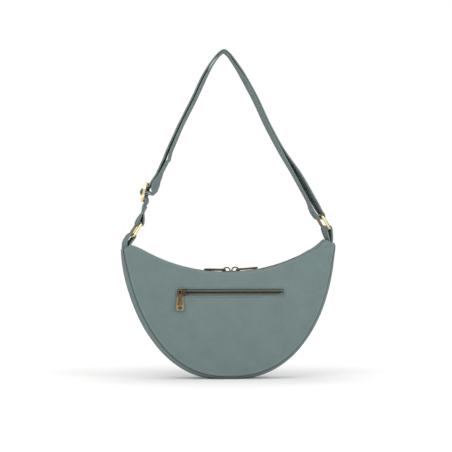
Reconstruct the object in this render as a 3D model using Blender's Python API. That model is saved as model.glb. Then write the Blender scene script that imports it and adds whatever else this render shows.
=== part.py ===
"""Half-moon belt bag with a two-slider top zip, a zipped slip pocket and an adjustable shoulder strap.

Metres, +Z up. The front faces -Y and the bag stands on the flat of its gusset at z = 0.
The origin is below the middle of the bag, on the floor.
"""
import math

import bmesh
import bpy
from mathutils import Matrix, Vector

# Driving sizes of the bag body
half_width = 0.1610
outline_power_share = 2.08
flat_sink = 0.0025
crown_middle = 0.0058
crown_tip = 0.0018
middle_half_depth = 0.0275
top_half_depth = 0.0235
tip_half_depth = 0.0170
belly = 0.0070
fabric = 0.0016
seat_gap = 0.0003

# The concave top edge and the strips beside the zip
top_height = 0.1580
tip_lift_left_share = 37 / 161
tip_lift_right_share = 45 / 161
tip_lift_left = half_width * tip_lift_left_share
tip_lift_right = half_width * tip_lift_right_share
tip_height_left = top_height + tip_lift_left
tip_height_right = top_height + tip_lift_right
top_radius_share = 256 / 161
top_radius = half_width * top_radius_share
top_inset_left = 0.0140
top_inset_right = 0.0150
top_end_left = half_width - top_inset_left
top_end_right = half_width - top_inset_right
tip_drop_left = -0.0044
tip_rise_right = 0.0037
zip_inset = 0.0430
zip_end = half_width - zip_inset
strip_fabric = 0.0012
slit_half = 0.0040
slit_end_half = 0.0003
ridge = 0.0010
strip_end_setback = 0.0020
rise_start = 0.0080

# The zips
tape_fabric = 0.0008
tape_width = 0.0100
tape_edge = 0.0026
chain_shift = -0.0030
tooth_pitch = 0.0040
tooth_length = 0.0017
tooth_height = 0.0034
tooth_reach = 0.0009
tooth_taper = 0.0003
slider_length = 0.0124
slider_width = 0.0086
slider_rear_width = 0.0062
plate_thickness = 0.0012
plate_clearance = 0.0022
post_width = 0.0024
post_length = 0.0034
crown_radius = 0.0060
crown_thickness = 0.0013
crown_width = 0.0026
sliders_meet = 0.0045
sliders_apart = 0.0008

# The pull tabs
pull_length = 0.0305
pull_thickness = 0.0018
pull_neck_half = 0.0030
pull_shoulder_half = 0.0042
pull_end_half = 0.0060
pull_slot_half = 0.0017
pull_slot_start = 0.0010
pull_slot_end = 0.0051
pull_back = 0.0009
pull_hole_radius = 0.0027
pull_rim = 0.0014
pull_recess = 0.0004
pull_axis_lift = 0.0017
pull_axis_inset = 0.0028
pull_rise_left = 0.0009
pull_rise_right = 0.0009
hang_lift = 0.0005
hang_gap = 0.0007

# The slip pocket
window_left = -0.0780
window_right = 0.0820
window_drop = 0.0285
window_height = top_height - window_drop
window_half = 0.00525
pocket_slider_x = -0.0688
pocket_tooth_end = 0.0795
pocket_cloth = 0.0008
pocket_side = 0.0040
pocket_reach_down = 0.0830
pocket_reach_up = 0.0105
pocket_bottom = window_height - pocket_reach_down
pocket_top = window_height + pocket_reach_up
pocket_mouth_half = 0.0065
pocket_room = 0.0060
pocket_tape_gap = 0.0005

# Rings, tabs, webbing and adjuster
webbing = 0.0022
webbing_width = 0.0290
tab_width = 0.0280
ring_wire = 0.00225
ring_long = 0.0350
ring_short = 0.0225
ring_corner = 0.0030
ring_clearance = 0.0003
open_clearance = 0.0013
ring_yaw = math.radians(-9)
ring_lean_left = math.radians(32.7)
ring_lean_right = math.radians(-31.5)
adjuster_long = 0.0380
adjuster_short = 0.0300
adjuster_thickness = 0.0036
adjuster_bar = 0.0018
adjuster_rim = 0.0036
adjuster_lean = math.radians(13.9)
adjuster_yaw = math.radians(12)
adjuster_travel = 0.1000
strap_height = 0.2970
strap_top = tip_height_left + strap_height
layer_gap = 0.0009

overrun = 0.0040
soft_bevel = 0.0003

# Places of the fittings, from the bag's tips
left_pivot_inset = 0.0162
left_pivot_lift = 0.0180
right_pivot_inset = 0.0122
right_pivot_lift = 0.0212
adjuster_inset = 0.0215
adjuster_lift = 0.0652
left_pivot = Vector((left_pivot_inset - half_width, 0, tip_height_left + left_pivot_lift))
right_pivot = Vector((half_width - right_pivot_inset, 0, tip_height_right + right_pivot_lift))
adjuster_place = left_pivot + Vector((adjuster_inset, 0, adjuster_lift))

# The strap and the tabs, in shares of the span between the bars, the tab's width and the adjuster
strap_midline_shares = [
    (0.075, 0.2292), (0.099, 0.2816), (0.140, 0.3534), (0.168, 0.4272), (0.231, 0.5727),
    (0.300, 0.7182), (0.362, 0.8638), (0.411, 0.9511), (0.459, 1.0), (0.492, 0.9802),
    (0.514, 0.9511), (0.570, 0.8638), (0.645, 0.7182), (0.709, 0.5727), (0.784, 0.4272),
    (0.870, 0.2816), (0.950, 0.1361), (0.977, 0.0779), (1, 0.0444),
]
tab_left_shares = [
    (-0.282, -0.893, 0.086), (-0.293, -0.607, 0.114), (-0.254, -0.357, 0.179), (-0.111, -0.132, 0.179),
]
tab_right_shares = [
    (0.115, -1.150, 0.095), (0.121, -0.864, 0.100), (0.125, -0.579, 0.121), (0.071, -0.275, 0.136),
]
ring_loop_shares = [(0.353, 1.088, 0.045), (0.200, 0.627, 0.046), (0.078, 0.270, 0.121)]
weave_before_shares = [(0.036, -0.392), (0.034, -0.272)]
weave_after_shares = [(0.100, 0.184), (0.196, 0.300)]
bar_loop_share = (0.289, -0.084)
return_shares = [(0.334, -0.061), (0.487, 0.153), (0.574, 0.389), (0.679, 0.732), (0.837, 1.179)]

# Counts of divisions
panel_columns = 26
panel_rows = 9
gusset_columns = 44
gusset_rows = 8
strip_columns = 30
strip_rows = 3

# Colours and finishes of the sub-parts
canvas_look = ((0.175, 0.235, 0.224), 0.9, 0.0)
webbing_look = ((0.165, 0.225, 0.215), 0.88, 0.0)
tape_look = ((0.06, 0.075, 0.07), 0.85, 0.0)
pouch_look = ((0.15, 0.2, 0.19), 0.9, 0.0)
brass_look = ((0.62, 0.45, 0.2), 0.3, 1.0)
antique_look = ((0.2, 0.14, 0.08), 0.4, 1.0)


def clear_scene():
    for old in list(bpy.data.objects):
        bpy.data.objects.remove(old, do_unlink=True)


def finish_of(name, look):
    colour, roughness, metallic = look
    made = bpy.data.materials.new(name + "_finish")
    made.use_nodes = True
    shader = made.node_tree.nodes["Principled BSDF"]
    shader.inputs["Base Color"].default_value = (*colour, 1)
    shader.inputs["Roughness"].default_value = roughness
    shader.inputs["Metallic"].default_value = metallic
    return made


def solid_from(name, points, faces, look, place=None):
    """A closed mesh object, faces turned outwards, with its origin where place puts it."""
    shape = bmesh.new()
    corners = [shape.verts.new(point) for point in points]
    for face in faces:
        shape.faces.new([corners[index] for index in face])
    bmesh.ops.recalc_face_normals(shape, faces=shape.faces)
    mesh = bpy.data.meshes.new(name)
    shape.to_mesh(mesh)
    shape.free()
    made = bpy.data.objects.new(name, mesh)
    bpy.context.scene.collection.objects.link(made)
    mesh.materials.append(finish_of(name, look))
    if place is not None:
        made.matrix_world = place
    return made


def soften(obj, angle=math.radians(40)):
    """Shades the round faces smooth and leaves real edges sharp."""
    obj.data.shade_smooth()
    obj.data.set_sharp_from_angle(angle=angle)


def skin(name, outer, inner, look, place=None):
    """A closed sheet between two grids of points, each a list of rows."""
    rows, columns = len(outer), len(outer[0])
    points = [point for row in outer for point in row] + [point for row in inner for point in row]
    under = rows * columns

    def at(row, column):
        return row * columns + column

    faces = []
    for row in range(rows - 1):
        for column in range(columns - 1):
            quad = [at(row, column), at(row, column + 1), at(row + 1, column + 1), at(row + 1, column)]
            faces.append(quad)
            faces.append([under + index for index in reversed(quad)])
        for column in (0, columns - 1):
            near, far = at(row, column), at(row + 1, column)
            faces.append([near, far, under + far, under + near])
    for row in (0, rows - 1):
        for column in range(columns - 1):
            near, far = at(row, column), at(row, column + 1)
            faces.append([near, far, under + far, under + near])
    made = solid_from(name, points, faces, look, place)
    soften(made)
    return made


def prism(name, outline, low, high, look, place=None):
    """An outline in X and Y, extruded from low to high."""
    count = len(outline)
    points = [(x, y, low) for x, y in outline] + [(x, y, high) for x, y in outline]
    faces = [list(range(count)), list(range(count, 2 * count))]
    for index in range(count):
        after = (index + 1) % count
        faces.append([index, after, count + after, count + index])
    return solid_from(name, points, faces, look, place)


def cut(base, tool, operation="DIFFERENCE"):
    """Applies an exact Boolean to base and removes the tool."""
    change = base.modifiers.new("cut", "BOOLEAN")
    change.operation = operation
    change.solver = "EXACT"
    change.object = tool
    graph = bpy.context.evaluated_depsgraph_get()
    graph.update()
    mesh = bpy.data.meshes.new_from_object(base.evaluated_get(graph))
    base.modifiers.remove(change)
    mesh.name = base.name
    base.data = mesh
    bpy.data.objects.remove(tool, do_unlink=True)


def mix(first, second, share):
    return first + (second - first) * share


def smooth_share(value):
    value = min(max(value, 0), 1)
    return value * value * (3 - 2 * value)


# The bag's surfaces

def tip_height(turn):
    return tip_height_right if turn > 0 else tip_height_left


def outline_point(turn):
    """The bag's outline seen from the front, from -1 at the left tip through 0 at the bottom to 1."""
    angle = turn * math.pi / 2
    reach = abs(math.sin(angle)) ** (2 / outline_power_share)
    drop = abs(math.cos(angle)) ** (2 / outline_power_share)
    high = tip_height(turn)
    return Vector((math.copysign(half_width * reach, turn), high - (high + flat_sink) * drop))


def outline_normal(turn):
    step = 1 / (8 * gusset_columns)
    along = outline_point(min(turn + step, 1)) - outline_point(max(turn - step, -1))
    return Vector((along.y, -along.x)).normalized()


def crown_at(turn):
    return mix(crown_middle, crown_tip, abs(turn) ** 6)


def seam_point(turn):
    """Where the panels are sewn to the gusset: the outline less the gusset's crown."""
    return outline_point(turn) - outline_normal(turn) * crown_at(turn)


def top_edge(x, shift=0, lift=0):
    """Height of the concave top edge at x. The zip's own arc is shifted and lifted a little."""
    centre = top_height + lift + top_radius
    height = centre - math.sqrt(top_radius ** 2 - (x - shift) ** 2)
    end = top_end_right if x > 0 else top_end_left
    rise = tip_rise_right if x > 0 else tip_drop_left
    start = zip_end + rise_start
    beyond = max(0, (abs(x) - start) / (end - start))
    return height + rise * beyond ** 2


def panel_depth(x, z):
    """Half the bag's depth at a point of the front view."""
    out = min(abs(x) / half_width, 1)
    edge_top = mix(top_half_depth, tip_half_depth, out ** 2)
    edge_low = mix(middle_half_depth, tip_half_depth, out ** 3)
    high = tip_height(x)
    reach = max(1 - out ** outline_power_share, 0) ** (1 / outline_power_share)
    low = high - (high - crown_middle + flat_sink) * reach
    end = top_end_right if x > 0 else top_end_left
    top = top_edge(math.copysign(min(abs(x), end), x))
    down = min(max((top - z) / max(top - low, fabric), 0), 1)
    swell = belly * (4 * down * (1 - down)) ** 0.8 * (1 - out ** 4)
    return mix(edge_top, edge_low, down) + swell


def seat_half(x, z):
    """Half the depth left between the panels for what is sewn to their edges."""
    return panel_depth(x, z) - fabric - seat_gap


def panel(name, side):
    """Half-moon panel, side -1 at the front and 1 at the back."""
    outer, inner = [], []
    for column in range(panel_columns + 1):
        turn = 2 * column / panel_columns - 1
        top_x = mix(-top_end_left, top_end_right, column / panel_columns)
        top = Vector((top_x, top_edge(top_x)))
        low = seam_point(turn)
        places = [mix(top, low, row / panel_rows) for row in range(panel_rows + 1)]
        outer.append([(p.x, side * panel_depth(p.x, p.y), p.y) for p in places])
        inner.append([(p.x, side * (panel_depth(p.x, p.y) - fabric), p.y) for p in places])
    return skin(name, outer, inner, canvas_look)


def gusset():
    """The bottom strip: crowned outwards between the seams and flat where the bag rests."""
    outer, inner = [], []
    for column in range(gusset_columns + 1):
        turn = 2 * column / gusset_columns - 1
        seam, away = seam_point(turn), outline_normal(turn)
        half = seat_half(seam.x, seam.y)
        outer_row, inner_row = [], []
        for row in range(gusset_rows + 1):
            across = 2 * row / gusset_rows - 1
            place = seam + away * crown_at(turn) * (1 - across ** 2)
            under = place - away * fabric
            outer_row.append((place.x, half * across, max(place.y, 0)))
            inner_row.append((under.x, half * across, max(under.y, fabric)))
        outer.append(outer_row)
        inner.append(inner_row)
    return skin("bottom_gusset", outer, inner, canvas_look)


def chain_normal(x):
    """Upward normal of the zip's arc at x."""
    lean = math.asin((x - chain_shift) / top_radius)
    return Vector((-math.sin(lean), 0, math.cos(lean)))


def strip_surface(x, across):
    """A point on the outside of the top strips, across metres from the zip's middle line."""
    edge = seat_half(x, top_edge(x))
    share = min(max((abs(across) - slit_half) / (edge - slit_half), 0), 1)
    height = mix(top_edge(x, chain_shift, ridge), top_edge(x), share)
    return Vector((x, across, height))


def slit_at(x):
    """Half the width of the slit for the zip, which closes past the zip's ends."""
    closing = smooth_share((abs(x) - zip_end) / (2 * slit_half))
    return mix(slit_half, slit_end_half, closing)


def top_strip(name, side):
    outer, inner = [], []
    low_x, high_x = -top_end_left + strip_end_setback, top_end_right - strip_end_setback
    for column in range(strip_columns + 1):
        x = mix(low_x, high_x, column / strip_columns)
        near, far = slit_at(x), seat_half(x, top_edge(x))
        places = [strip_surface(x, side * mix(near, far, row / strip_rows)) for row in range(strip_rows + 1)]
        down = chain_normal(x) * strip_fabric
        outer.append(places)
        inner.append([place - down for place in places])
    return skin(name, outer, inner, canvas_look)


# The main zip

def chain_place(along, across, lift, side):
    """A point on the main zip: along its arc, across from its middle line, lift above the strips."""
    lean = along / top_radius
    reach = top_radius - lift
    x = chain_shift + reach * math.sin(lean)
    z = top_height + ridge + top_radius - reach * math.cos(lean)
    sag = strip_surface(x, side * across).z - top_edge(x, chain_shift, ridge)
    return Vector((x, side * across, z + sag))


def comb(name, place, low, high, spans, tape_lift, look):
    """A zip tape with its teeth: place(along, across, lift) puts a point, spans are the teeth."""
    top, under = tape_lift + tape_fabric / 2, tape_lift - tape_fabric / 2
    tooth_top, tooth_under = tape_lift + tooth_height / 2, tape_lift - tooth_height / 2
    stations, teeth = [low], []
    for start, end in spans + [(high, high)]:
        gap = start - stations[-1]
        pieces = max(math.ceil(gap / (2 * tooth_pitch)), 1)
        begin = stations[-1]
        stations += [begin + gap * piece / pieces for piece in range(1, pieces + 1)]
        if end > start:
            teeth.append(len(stations) - 1)
            stations.append(end)
    points, faces = [], []

    def add(along, across, lift):
        points.append(place(along, across, lift))
        return len(points) - 1

    rows = []
    for along in stations:
        rows.append([
            add(along, tape_edge, top), add(along, tape_width, top),
            add(along, tape_width, under), add(along, tape_edge, under),
        ])
    faces += [rows[0], rows[-1]]
    for index in range(len(rows) - 1):
        near, far = rows[index], rows[index + 1]
        for corner in range(3):
            faces.append([near[corner], near[corner + 1], far[corner + 1], far[corner]])
        if index not in teeth:
            faces.append([near[3], near[0], far[0], far[3]])
            continue
        ends = []
        for along, inward in ((stations[index], tooth_taper), (stations[index + 1], -tooth_taper)):
            ends.append([
                add(along, tape_edge, tooth_top), add(along + inward, -tooth_reach, tooth_top),
                add(along + inward, -tooth_reach, tooth_under), add(along, tape_edge, tooth_under),
            ])
        first, last = ends
        faces.append([near[0], first[0], last[0], far[0]])
        faces.append([near[3], first[3], last[3], far[3]])
        for corner in range(3):
            faces.append([first[corner], first[corner + 1], last[corner + 1], last[corner]])
        faces.append([near[0], first[0], first[1], first[2], first[3], near[3]])
        faces.append([far[0], last[0], last[1], last[2], last[3], far[3]])
    return solid_from(name, points, faces, look)


def tooth_spans(low, high, offset, skip_low=0, skip_high=0):
    """Starts and ends of one tape's teeth between low and high, leaving out the sliders' stretch."""
    spans = []
    count = int((high - low) / tooth_pitch)
    for index in range(count):
        middle = low + (index + 0.5) * tooth_pitch + offset
        start, end = middle - tooth_length / 2, middle + tooth_length / 2
        if end > high - tooth_taper or skip_low < middle < skip_high:
            continue
        spans.append((start, end))
    return spans


def along_at(x):
    return top_radius * math.asin((x - chain_shift) / top_radius)


def slider_centre(side):
    """X of a closed main slider's middle, side -1 for the left one."""
    return sliders_meet + side * (sliders_apart + slider_length) / 2


def main_tape(name, side):
    low, high = along_at(-zip_end), along_at(zip_end)
    margin = slider_length / 2 + tooth_pitch / 2
    skip_low, skip_high = along_at(slider_centre(-1)) - margin, along_at(slider_centre(1)) + margin
    offset = tooth_pitch / 4 * side
    spans = tooth_spans(low, high, offset, skip_low, skip_high)
    lift = -(strip_fabric + seat_gap + tape_fabric / 2)

    def place(along, across, up):
        return chain_place(along, across, up, side)

    return comb(name, place, low - slit_half / 2, high + slit_half / 2, spans, lift, tape_look)


# Sliders and pulls

def slider(name, nose, place):
    """A zip slider: two plates joined by a post at the nose, and a crown over the top.

    X runs along the zip, Z out of it, and the tapes pass between the plates at z = 0.
    """
    half_long, half_wide, half_rear = slider_length / 2, slider_width / 2, slider_rear_width / 2
    corner = (half_wide - half_rear) / 2
    side = [(-half_long, half_rear), (0, half_wide), (half_long - corner, half_wide),
            (half_long, half_wide - corner)]
    outline = side + [(x, -y) for x, y in reversed(side)]
    outline = [(x * nose, y) for x, y in outline]
    inner, outer = plate_clearance, plate_clearance + plate_thickness
    body = prism(name, outline, inner, outer, antique_look)
    half_post, bite = post_width / 2, plate_thickness / 3
    post = [(half_long - post_length, 0), (half_long - post_length / 2, half_post),
            (half_long - corner, half_post), (half_long - corner, -half_post),
            (half_long - post_length / 2, -half_post)]
    post = [(x * nose, y) for x, y in post]
    cut(body, prism("plate", outline, -outer, -inner, antique_look), "UNION")
    cut(body, prism("post", post, -inner - bite, inner + bite, antique_look), "UNION")
    steps = 10
    turns = [math.pi * step / steps for step in range(steps + 1)]
    rim = [(crown_radius * math.cos(turn), outer + crown_radius * math.sin(turn)) for turn in turns]
    hollow = crown_radius - crown_thickness
    bore = [(hollow * math.cos(turn), outer + hollow * math.sin(turn)) for turn in reversed(turns)]
    feet = [(-hollow, outer - bite), (hollow, outer - bite), (crown_radius, outer - bite)]
    arch = rim + [(-crown_radius, outer - bite), feet[0]] + bore[0:] + feet[1:]
    crown = prism("crown", arch, -crown_width / 2, crown_width / 2, antique_look,
                  Matrix.Rotation(math.pi / 2, 4, "X"))
    cut(body, crown, "UNION")
    body.matrix_world = place
    return body


def pull(name, place):
    """A pull tab lying along +X from its axis: slotted neck, recessed faces and a holed end."""
    end_long = pull_end_half * 2 / 3
    steps = 5
    half = [(-pull_back, pull_neck_half - pull_back), (0, pull_neck_half),
            (pull_slot_end, pull_neck_half), (pull_slot_end + pull_shoulder_half / 2, pull_shoulder_half)]
    for step in range(steps):
        turn = math.pi / 2 * (1 - step / steps)
        half.append((pull_length - end_long * (1 - math.cos(turn) ** 0.7),
                     pull_end_half * math.sin(turn) ** 0.7))
    outline = half + [(pull_length, 0)] + [(x, -y) for x, y in reversed(half)]
    thick = pull_thickness / 2
    body = prism(name, outline, -thick, thick, antique_look)
    deep = thick + overrun
    slot = [(pull_slot_start, -pull_slot_half), (pull_slot_end, -pull_slot_half),
            (pull_slot_end, pull_slot_half), (pull_slot_start, pull_slot_half)]
    cut(body, prism("slot", slot, -deep, deep, antique_look))
    hole_x = pull_length - pull_rim - pull_hole_radius
    sides = 10
    hole = [(hole_x + pull_hole_radius * math.cos(2 * math.pi * step / sides),
             pull_hole_radius * math.sin(2 * math.pi * step / sides) * 1.2) for step in range(sides)]
    cut(body, prism("hole", hole, -deep, deep, antique_look))
    start = pull_slot_end + pull_shoulder_half / 2 + pull_rim
    stop = hole_x - pull_hole_radius - pull_rim
    near, far = pull_shoulder_half - pull_rim, pull_end_half - pull_rim
    panel_outline = [(start, -near), (stop, -far), (stop, far), (start, near)]
    floor = thick - pull_recess
    cut(body, prism("recess", panel_outline, floor, deep, antique_look))
    cut(body, prism("recess", panel_outline, -deep, -floor, antique_look))
    body.matrix_world = place
    return body


def frame_at(origin, along, out):
    """Matrix with X along, Z out and Y across, at origin."""
    along = along.normalized()
    out = (out - along * out.dot(along)).normalized()
    across = out.cross(along)
    turn = Matrix((along, across, out)).transposed().to_4x4()
    return Matrix.Translation(origin) @ turn


def tape_middle_lift():
    return -(strip_fabric + seat_gap + tape_fabric / 2)


def pull_axis_height():
    """Height of a pull's axis above the tapes in a slider."""
    return plate_clearance + plate_thickness + pull_axis_lift


def main_slider(side):
    """One of the two sliders of the main zip, with its pull lying outwards along the chain."""
    word = "left" if side < 0 else "right"
    lean = math.asin((slider_centre(side) - chain_shift) / top_radius)
    out = Vector((-math.sin(lean), 0, math.cos(lean)))
    along = Vector((math.cos(lean), 0, math.sin(lean)))
    middle = chain_place(lean * top_radius, 0, tape_middle_lift(), 1)
    slider("main_slider_" + word, -side, frame_at(middle, along, out))
    reach = pull_axis_inset + pull_length
    rise = (reach ** 2 / (2 * top_radius) + tooth_height / 2 + seat_gap
            + pull_thickness / 2 - pull_axis_height())
    rise = max(rise, 0) + (pull_rise_right if side > 0 else pull_rise_left)
    tilt = math.asin(rise / pull_length)
    axis = middle + along * side * pull_axis_inset + out * pull_axis_height()
    outward = along * side * math.cos(tilt) + out * math.sin(tilt)
    pull("main_pull_" + word, frame_at(axis, outward, out))


# The slip pocket

def pocket_frame(x):
    """Matrix on the pocket zip's tapes at x: X along the zip, Y up the panel, Z outwards."""
    step = fabric
    slope = (panel_depth(x, window_height + step) - panel_depth(x, window_height - step)) / (2 * step)
    out = Vector((0, -1, -slope)).normalized()
    back = fabric + pocket_tape_gap + tape_fabric / 2
    middle = Vector((x, -panel_depth(x, window_height), window_height)) - out * back
    return frame_at(middle, Vector((1, 0, 0)), out)


def pocket_tape(name, side):
    def place(along, across, lift):
        return pocket_frame(along) @ Vector((0, side * across, lift))

    low = pocket_slider_x + slider_length / 2 + tooth_pitch / 2
    spans = tooth_spans(low, pocket_tooth_end, tooth_pitch / 4 * side)
    return comb(name, place, window_left - pocket_side / 2, window_right + pocket_side / 2, spans, 0,
                tape_look)


def block(name, low, high, look):
    outline = [(low[0], low[1]), (high[0], low[1]), (high[0], high[1]), (low[0], high[1])]
    return prism(name, outline, low[2], high[2], look)


def pocket_bag():
    """The pouch behind the window: closed all round, with a mouth at the zip."""
    low_x, high_x = window_left - pocket_side, window_right + pocket_side
    shallow = min(panel_depth(x, pocket_top) for x in (low_x, 0, high_x))
    front = -(shallow - fabric - pocket_tape_gap - tape_fabric - seat_gap)
    back = front + 2 * pocket_cloth + pocket_room
    pouch = block("pocket_bag", (low_x, front, pocket_bottom), (high_x, back, pocket_top), pouch_look)
    inside_low = (low_x + pocket_cloth, front + pocket_cloth, pocket_bottom + pocket_cloth)
    inside_high = (high_x - pocket_cloth, back - pocket_cloth, pocket_top - pocket_cloth)
    cut(pouch, block("inside", inside_low, inside_high, pouch_look))
    mouth_low = (window_left, front - overrun, window_height - pocket_mouth_half)
    mouth_high = (window_right, front + pocket_cloth + pocket_room / 2, window_height + pocket_mouth_half)
    cut(pouch, block("mouth", mouth_low, mouth_high, pouch_look))
    return pouch


def front_panel():
    made = panel("front_panel", -1)
    deep = middle_half_depth + belly
    window = block("window", (window_left, -deep - overrun, window_height - window_half),
                   (window_right, -tip_half_depth + overrun, window_height + window_half), canvas_look)
    cut(made, window)
    soften(made)
    return made


def pocket_slider_parts():
    place = pocket_frame(pocket_slider_x)
    slider("pocket_slider", -1, place)
    far_side = math.sqrt(crown_radius ** 2 - hang_lift ** 2)
    near_side = math.sqrt((crown_radius - crown_thickness) ** 2 - (hang_lift + pull_thickness) ** 2)
    leg = (far_side + near_side) / 2
    eye = pull_slot_start + crown_width / 2 + hang_gap
    lift = plate_clearance + plate_thickness + hang_lift + pull_thickness / 2
    hang = place @ Vector((-leg, eye, lift))
    turn = place.to_3x3()
    down, out = turn @ Vector((0, -1, 0)), turn @ Vector((0, 0, 1))
    pull("pocket_pull", frame_at(hang, down, out))


# Rings, webbing and adjuster

def turned(yaw, lean):
    """Directions of a fitting: along its bars, and up its middle."""
    along = Vector((math.sin(yaw), math.cos(yaw), 0))
    sideways = Vector((math.cos(yaw), -math.sin(yaw), 0))
    up = sideways * math.sin(lean) + Vector((0, 0, 1)) * math.cos(lean)
    return along, up


def upper_bar(pivot, lean):
    return pivot + turned(ring_yaw, lean)[1] * ring_short


def ring(name, pivot, lean):
    """A rectangular wire ring, its lower bar on the pivot."""
    half, steps, sides = ring_long / 2, 4, 8
    corners = [(half, 0, -1, 0), (half, ring_short, 0, 1), (-half, ring_short, 1, 2), (-half, 0, 2, 3)]
    path = []
    for x, y, start, end in corners:
        centre = Vector((x - math.copysign(ring_corner, x), y + (ring_corner if y == 0 else -ring_corner)))
        for step in range(steps + 1):
            turn = math.pi / 2 * (start + (end - start) * step / steps)
            out = Vector((math.cos(turn), math.sin(turn)))
            path.append((centre + out * ring_corner, out))
    points = []
    for place, out in path:
        for side in range(sides):
            turn = 2 * math.pi * side / sides
            offset = out * ring_wire * math.cos(turn)
            points.append((place.x + offset.x, place.y + offset.y, ring_wire * math.sin(turn)))
    faces = []
    for index in range(len(path)):
        near, far = index * sides, (index + 1) % len(path) * sides
        for side in range(sides):
            after = (side + 1) % sides
            faces.append([near + side, near + after, far + after, far + side])
    along, up = turned(ring_yaw, lean)
    turn = Matrix((along, up, along.cross(up))).transposed().to_4x4()
    made = solid_from(name, points, faces, brass_look, Matrix.Translation(pivot) @ turn)
    soften(made)
    return made


def adjuster():
    """The three-bar strap adjuster: a cast frame with two slots either side of a round bar."""
    half_long, half_short, half_thick = adjuster_long / 2, adjuster_short / 2, adjuster_thickness / 2
    slot_long, slot_short = half_long - adjuster_rim, half_short - adjuster_rim
    outer, inner, inset = [], [], adjuster_rim / 6
    for x, y, first in ((1, -1, -1), (1, 1, 0), (-1, 1, 1), (-1, -1, 2)):
        for step in range(5):
            turn = math.pi / 2 * (first + step / 4)
            way = Vector((math.cos(turn), math.sin(turn)))
            outer.append(Vector((x * slot_long, y * slot_short)) + way * adjuster_rim)
            inner.append(Vector((x * (slot_long - inset), y * (slot_short - inset))) + way * inset)
    points = [(p.x, p.y, z) for p, z in zip(outer + inner + inner + outer,
              [-half_thick] * 2 * len(outer) + [half_thick] * 2 * len(outer))]
    faces, count = [], len(outer)
    for index in range(count):
        after = (index + 1) % count
        for ring_index in range(4):
            near, far = ring_index * count, (ring_index + 1) % 4 * count
            faces.append([near + index, near + after, far + after, far + index])
    along, up = turned(adjuster_yaw, adjuster_lean)
    facing = Matrix((along, up, along.cross(up))).transposed().to_4x4()
    made = solid_from("adjuster", points, faces, brass_look)
    sides = 12
    turns = [2 * math.pi * (side + 0.5) / sides for side in range(sides)]
    bar = [(adjuster_bar * math.cos(turn), adjuster_bar * math.sin(turn)) for turn in turns]
    reach = slot_long + adjuster_rim / 3
    cut(made, prism("bar", bar, -reach, reach, brass_look, Matrix.Rotation(math.pi / 2, 4, "Y")), "UNION")
    made.matrix_world = Matrix.Translation(adjuster_place) @ facing
    soften(made)
    return made


def smooth_line(points, steps):
    """A smooth line through the points, a few steps from each to the next."""
    line = []
    for index in range(len(points) - 1):
        p1, p2 = points[index], points[index + 1]
        p0 = points[index - 1] if index else p1 * 2 - p2
        p3 = points[index + 2] if index + 2 < len(points) else p2 * 2 - p1
        for step in range(steps):
            t = step / steps
            line.append((p1 * 2 + (p2 - p0) * t + (p0 * 2 - p1 * 5 + p2 * 4 - p3) * t ** 2
                         + (p1 * 3 - p0 - p2 * 3 + p3) * t ** 3) / 2)
    line.append(points[-1])
    return line


def directions(line):
    """The direction of a line at each of its points."""
    last = len(line) - 1
    return [(line[min(index + 1, last)] - line[max(index - 1, 0)]).normalized() for index in range(last + 1)]


def ribbon(name, path, thick, width, drape):
    """Webbing along a path in the front view. Drape gives its yaw and depth at each height."""
    outer, inner = [], []
    for place, direction in zip(path, directions(path)):
        yaw, middle = drape(place)
        across = Vector((math.sin(yaw), math.cos(yaw), 0))
        out = across.cross(Vector((direction.x, 0, direction.y))).normalized()
        centre = Vector((place.x, middle, place.y))
        half = across * width / 2
        outer.append([centre + out * thick / 2 - half, centre + out * thick / 2 + half])
        inner.append([centre - out * thick / 2 - half, centre - out * thick / 2 + half])
    return skin(name, outer, inner, webbing_look)


def flat(point):
    return Vector((point.x, point.z))


def looped(line, offsets, centre, radius, steps):
    """Out along one side of a middle line, round a bar at its end, and back along the other side."""
    ways = directions(line)
    side_a = [p + Vector((-w.y, w.x)) * o for p, w, o in zip(line, ways, offsets)]
    side_b = [p - Vector((-w.y, w.x)) * o for p, w, o in zip(line, ways, offsets)]
    way = ways[-1]
    normal = Vector((-way.y, way.x))
    arc = []
    for step in range(steps + 1):
        turn = math.pi * step / steps
        arc.append(centre + (normal * math.cos(turn) + way * math.sin(turn)) * radius)
    return side_a + arc + side_b[::-1]


def tab(name, pivot, shares):
    """A short webbing tab: out of the tip, over the ring's lower bar and back in."""
    knots = [flat(pivot) + Vector((x, z)) * tab_width for x, z, gap in shares] + [flat(pivot)]
    radius = ring_wire + ring_clearance + webbing / 2
    gaps = [Vector((gap * tab_width, 0)) for x, z, gap in shares] + [Vector((radius, 0))]
    steps = 3
    line, offsets = smooth_line(knots, steps), [gap.x for gap in smooth_line(gaps, steps)]
    path = looped(line[:-1], offsets[:-1], flat(pivot), radius, 10)
    low, high = knots[0].y, pivot.z

    def drape(place):
        return ring_yaw * smooth_share((place.y - low) / (high - low)), 0

    return ribbon(name, path, webbing, tab_width, drape)


left_bar = upper_bar(left_pivot, ring_lean_left)
right_bar = upper_bar(right_pivot, ring_lean_right)
apex_spread = ring_clearance
strap_middle_top = strap_top - webbing - apex_spread


def strap_drape(place):
    """Yaw and depth of the strap: turned by the left ring, the adjuster and the right ring."""
    travel_top = adjuster_place.z + adjuster_travel * math.cos(adjuster_lean)
    if place.x < (left_bar.x + right_bar.x) / 2:
        low_share = smooth_share((place.y - left_bar.z) / (adjuster_place.z - adjuster_short / 2 - left_bar.z))
        yaw = mix(ring_yaw, adjuster_yaw, low_share)
        over = (place.y - adjuster_place.z - adjuster_short / 2) / (travel_top - adjuster_place.z)
        away = smooth_share(abs(place.y - adjuster_place.z) / (2 * adjuster_short))
        square = (adjuster_place.x - place.x) * math.tan(adjuster_yaw) * (1 - away) * low_share
        return yaw * (1 - smooth_share(over)), left_bar.y * (1 - low_share) + square
    near = smooth_share(1 - (place.y - right_bar.z) / (2 * webbing_width))
    return ring_yaw * near, right_bar.y * near


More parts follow.
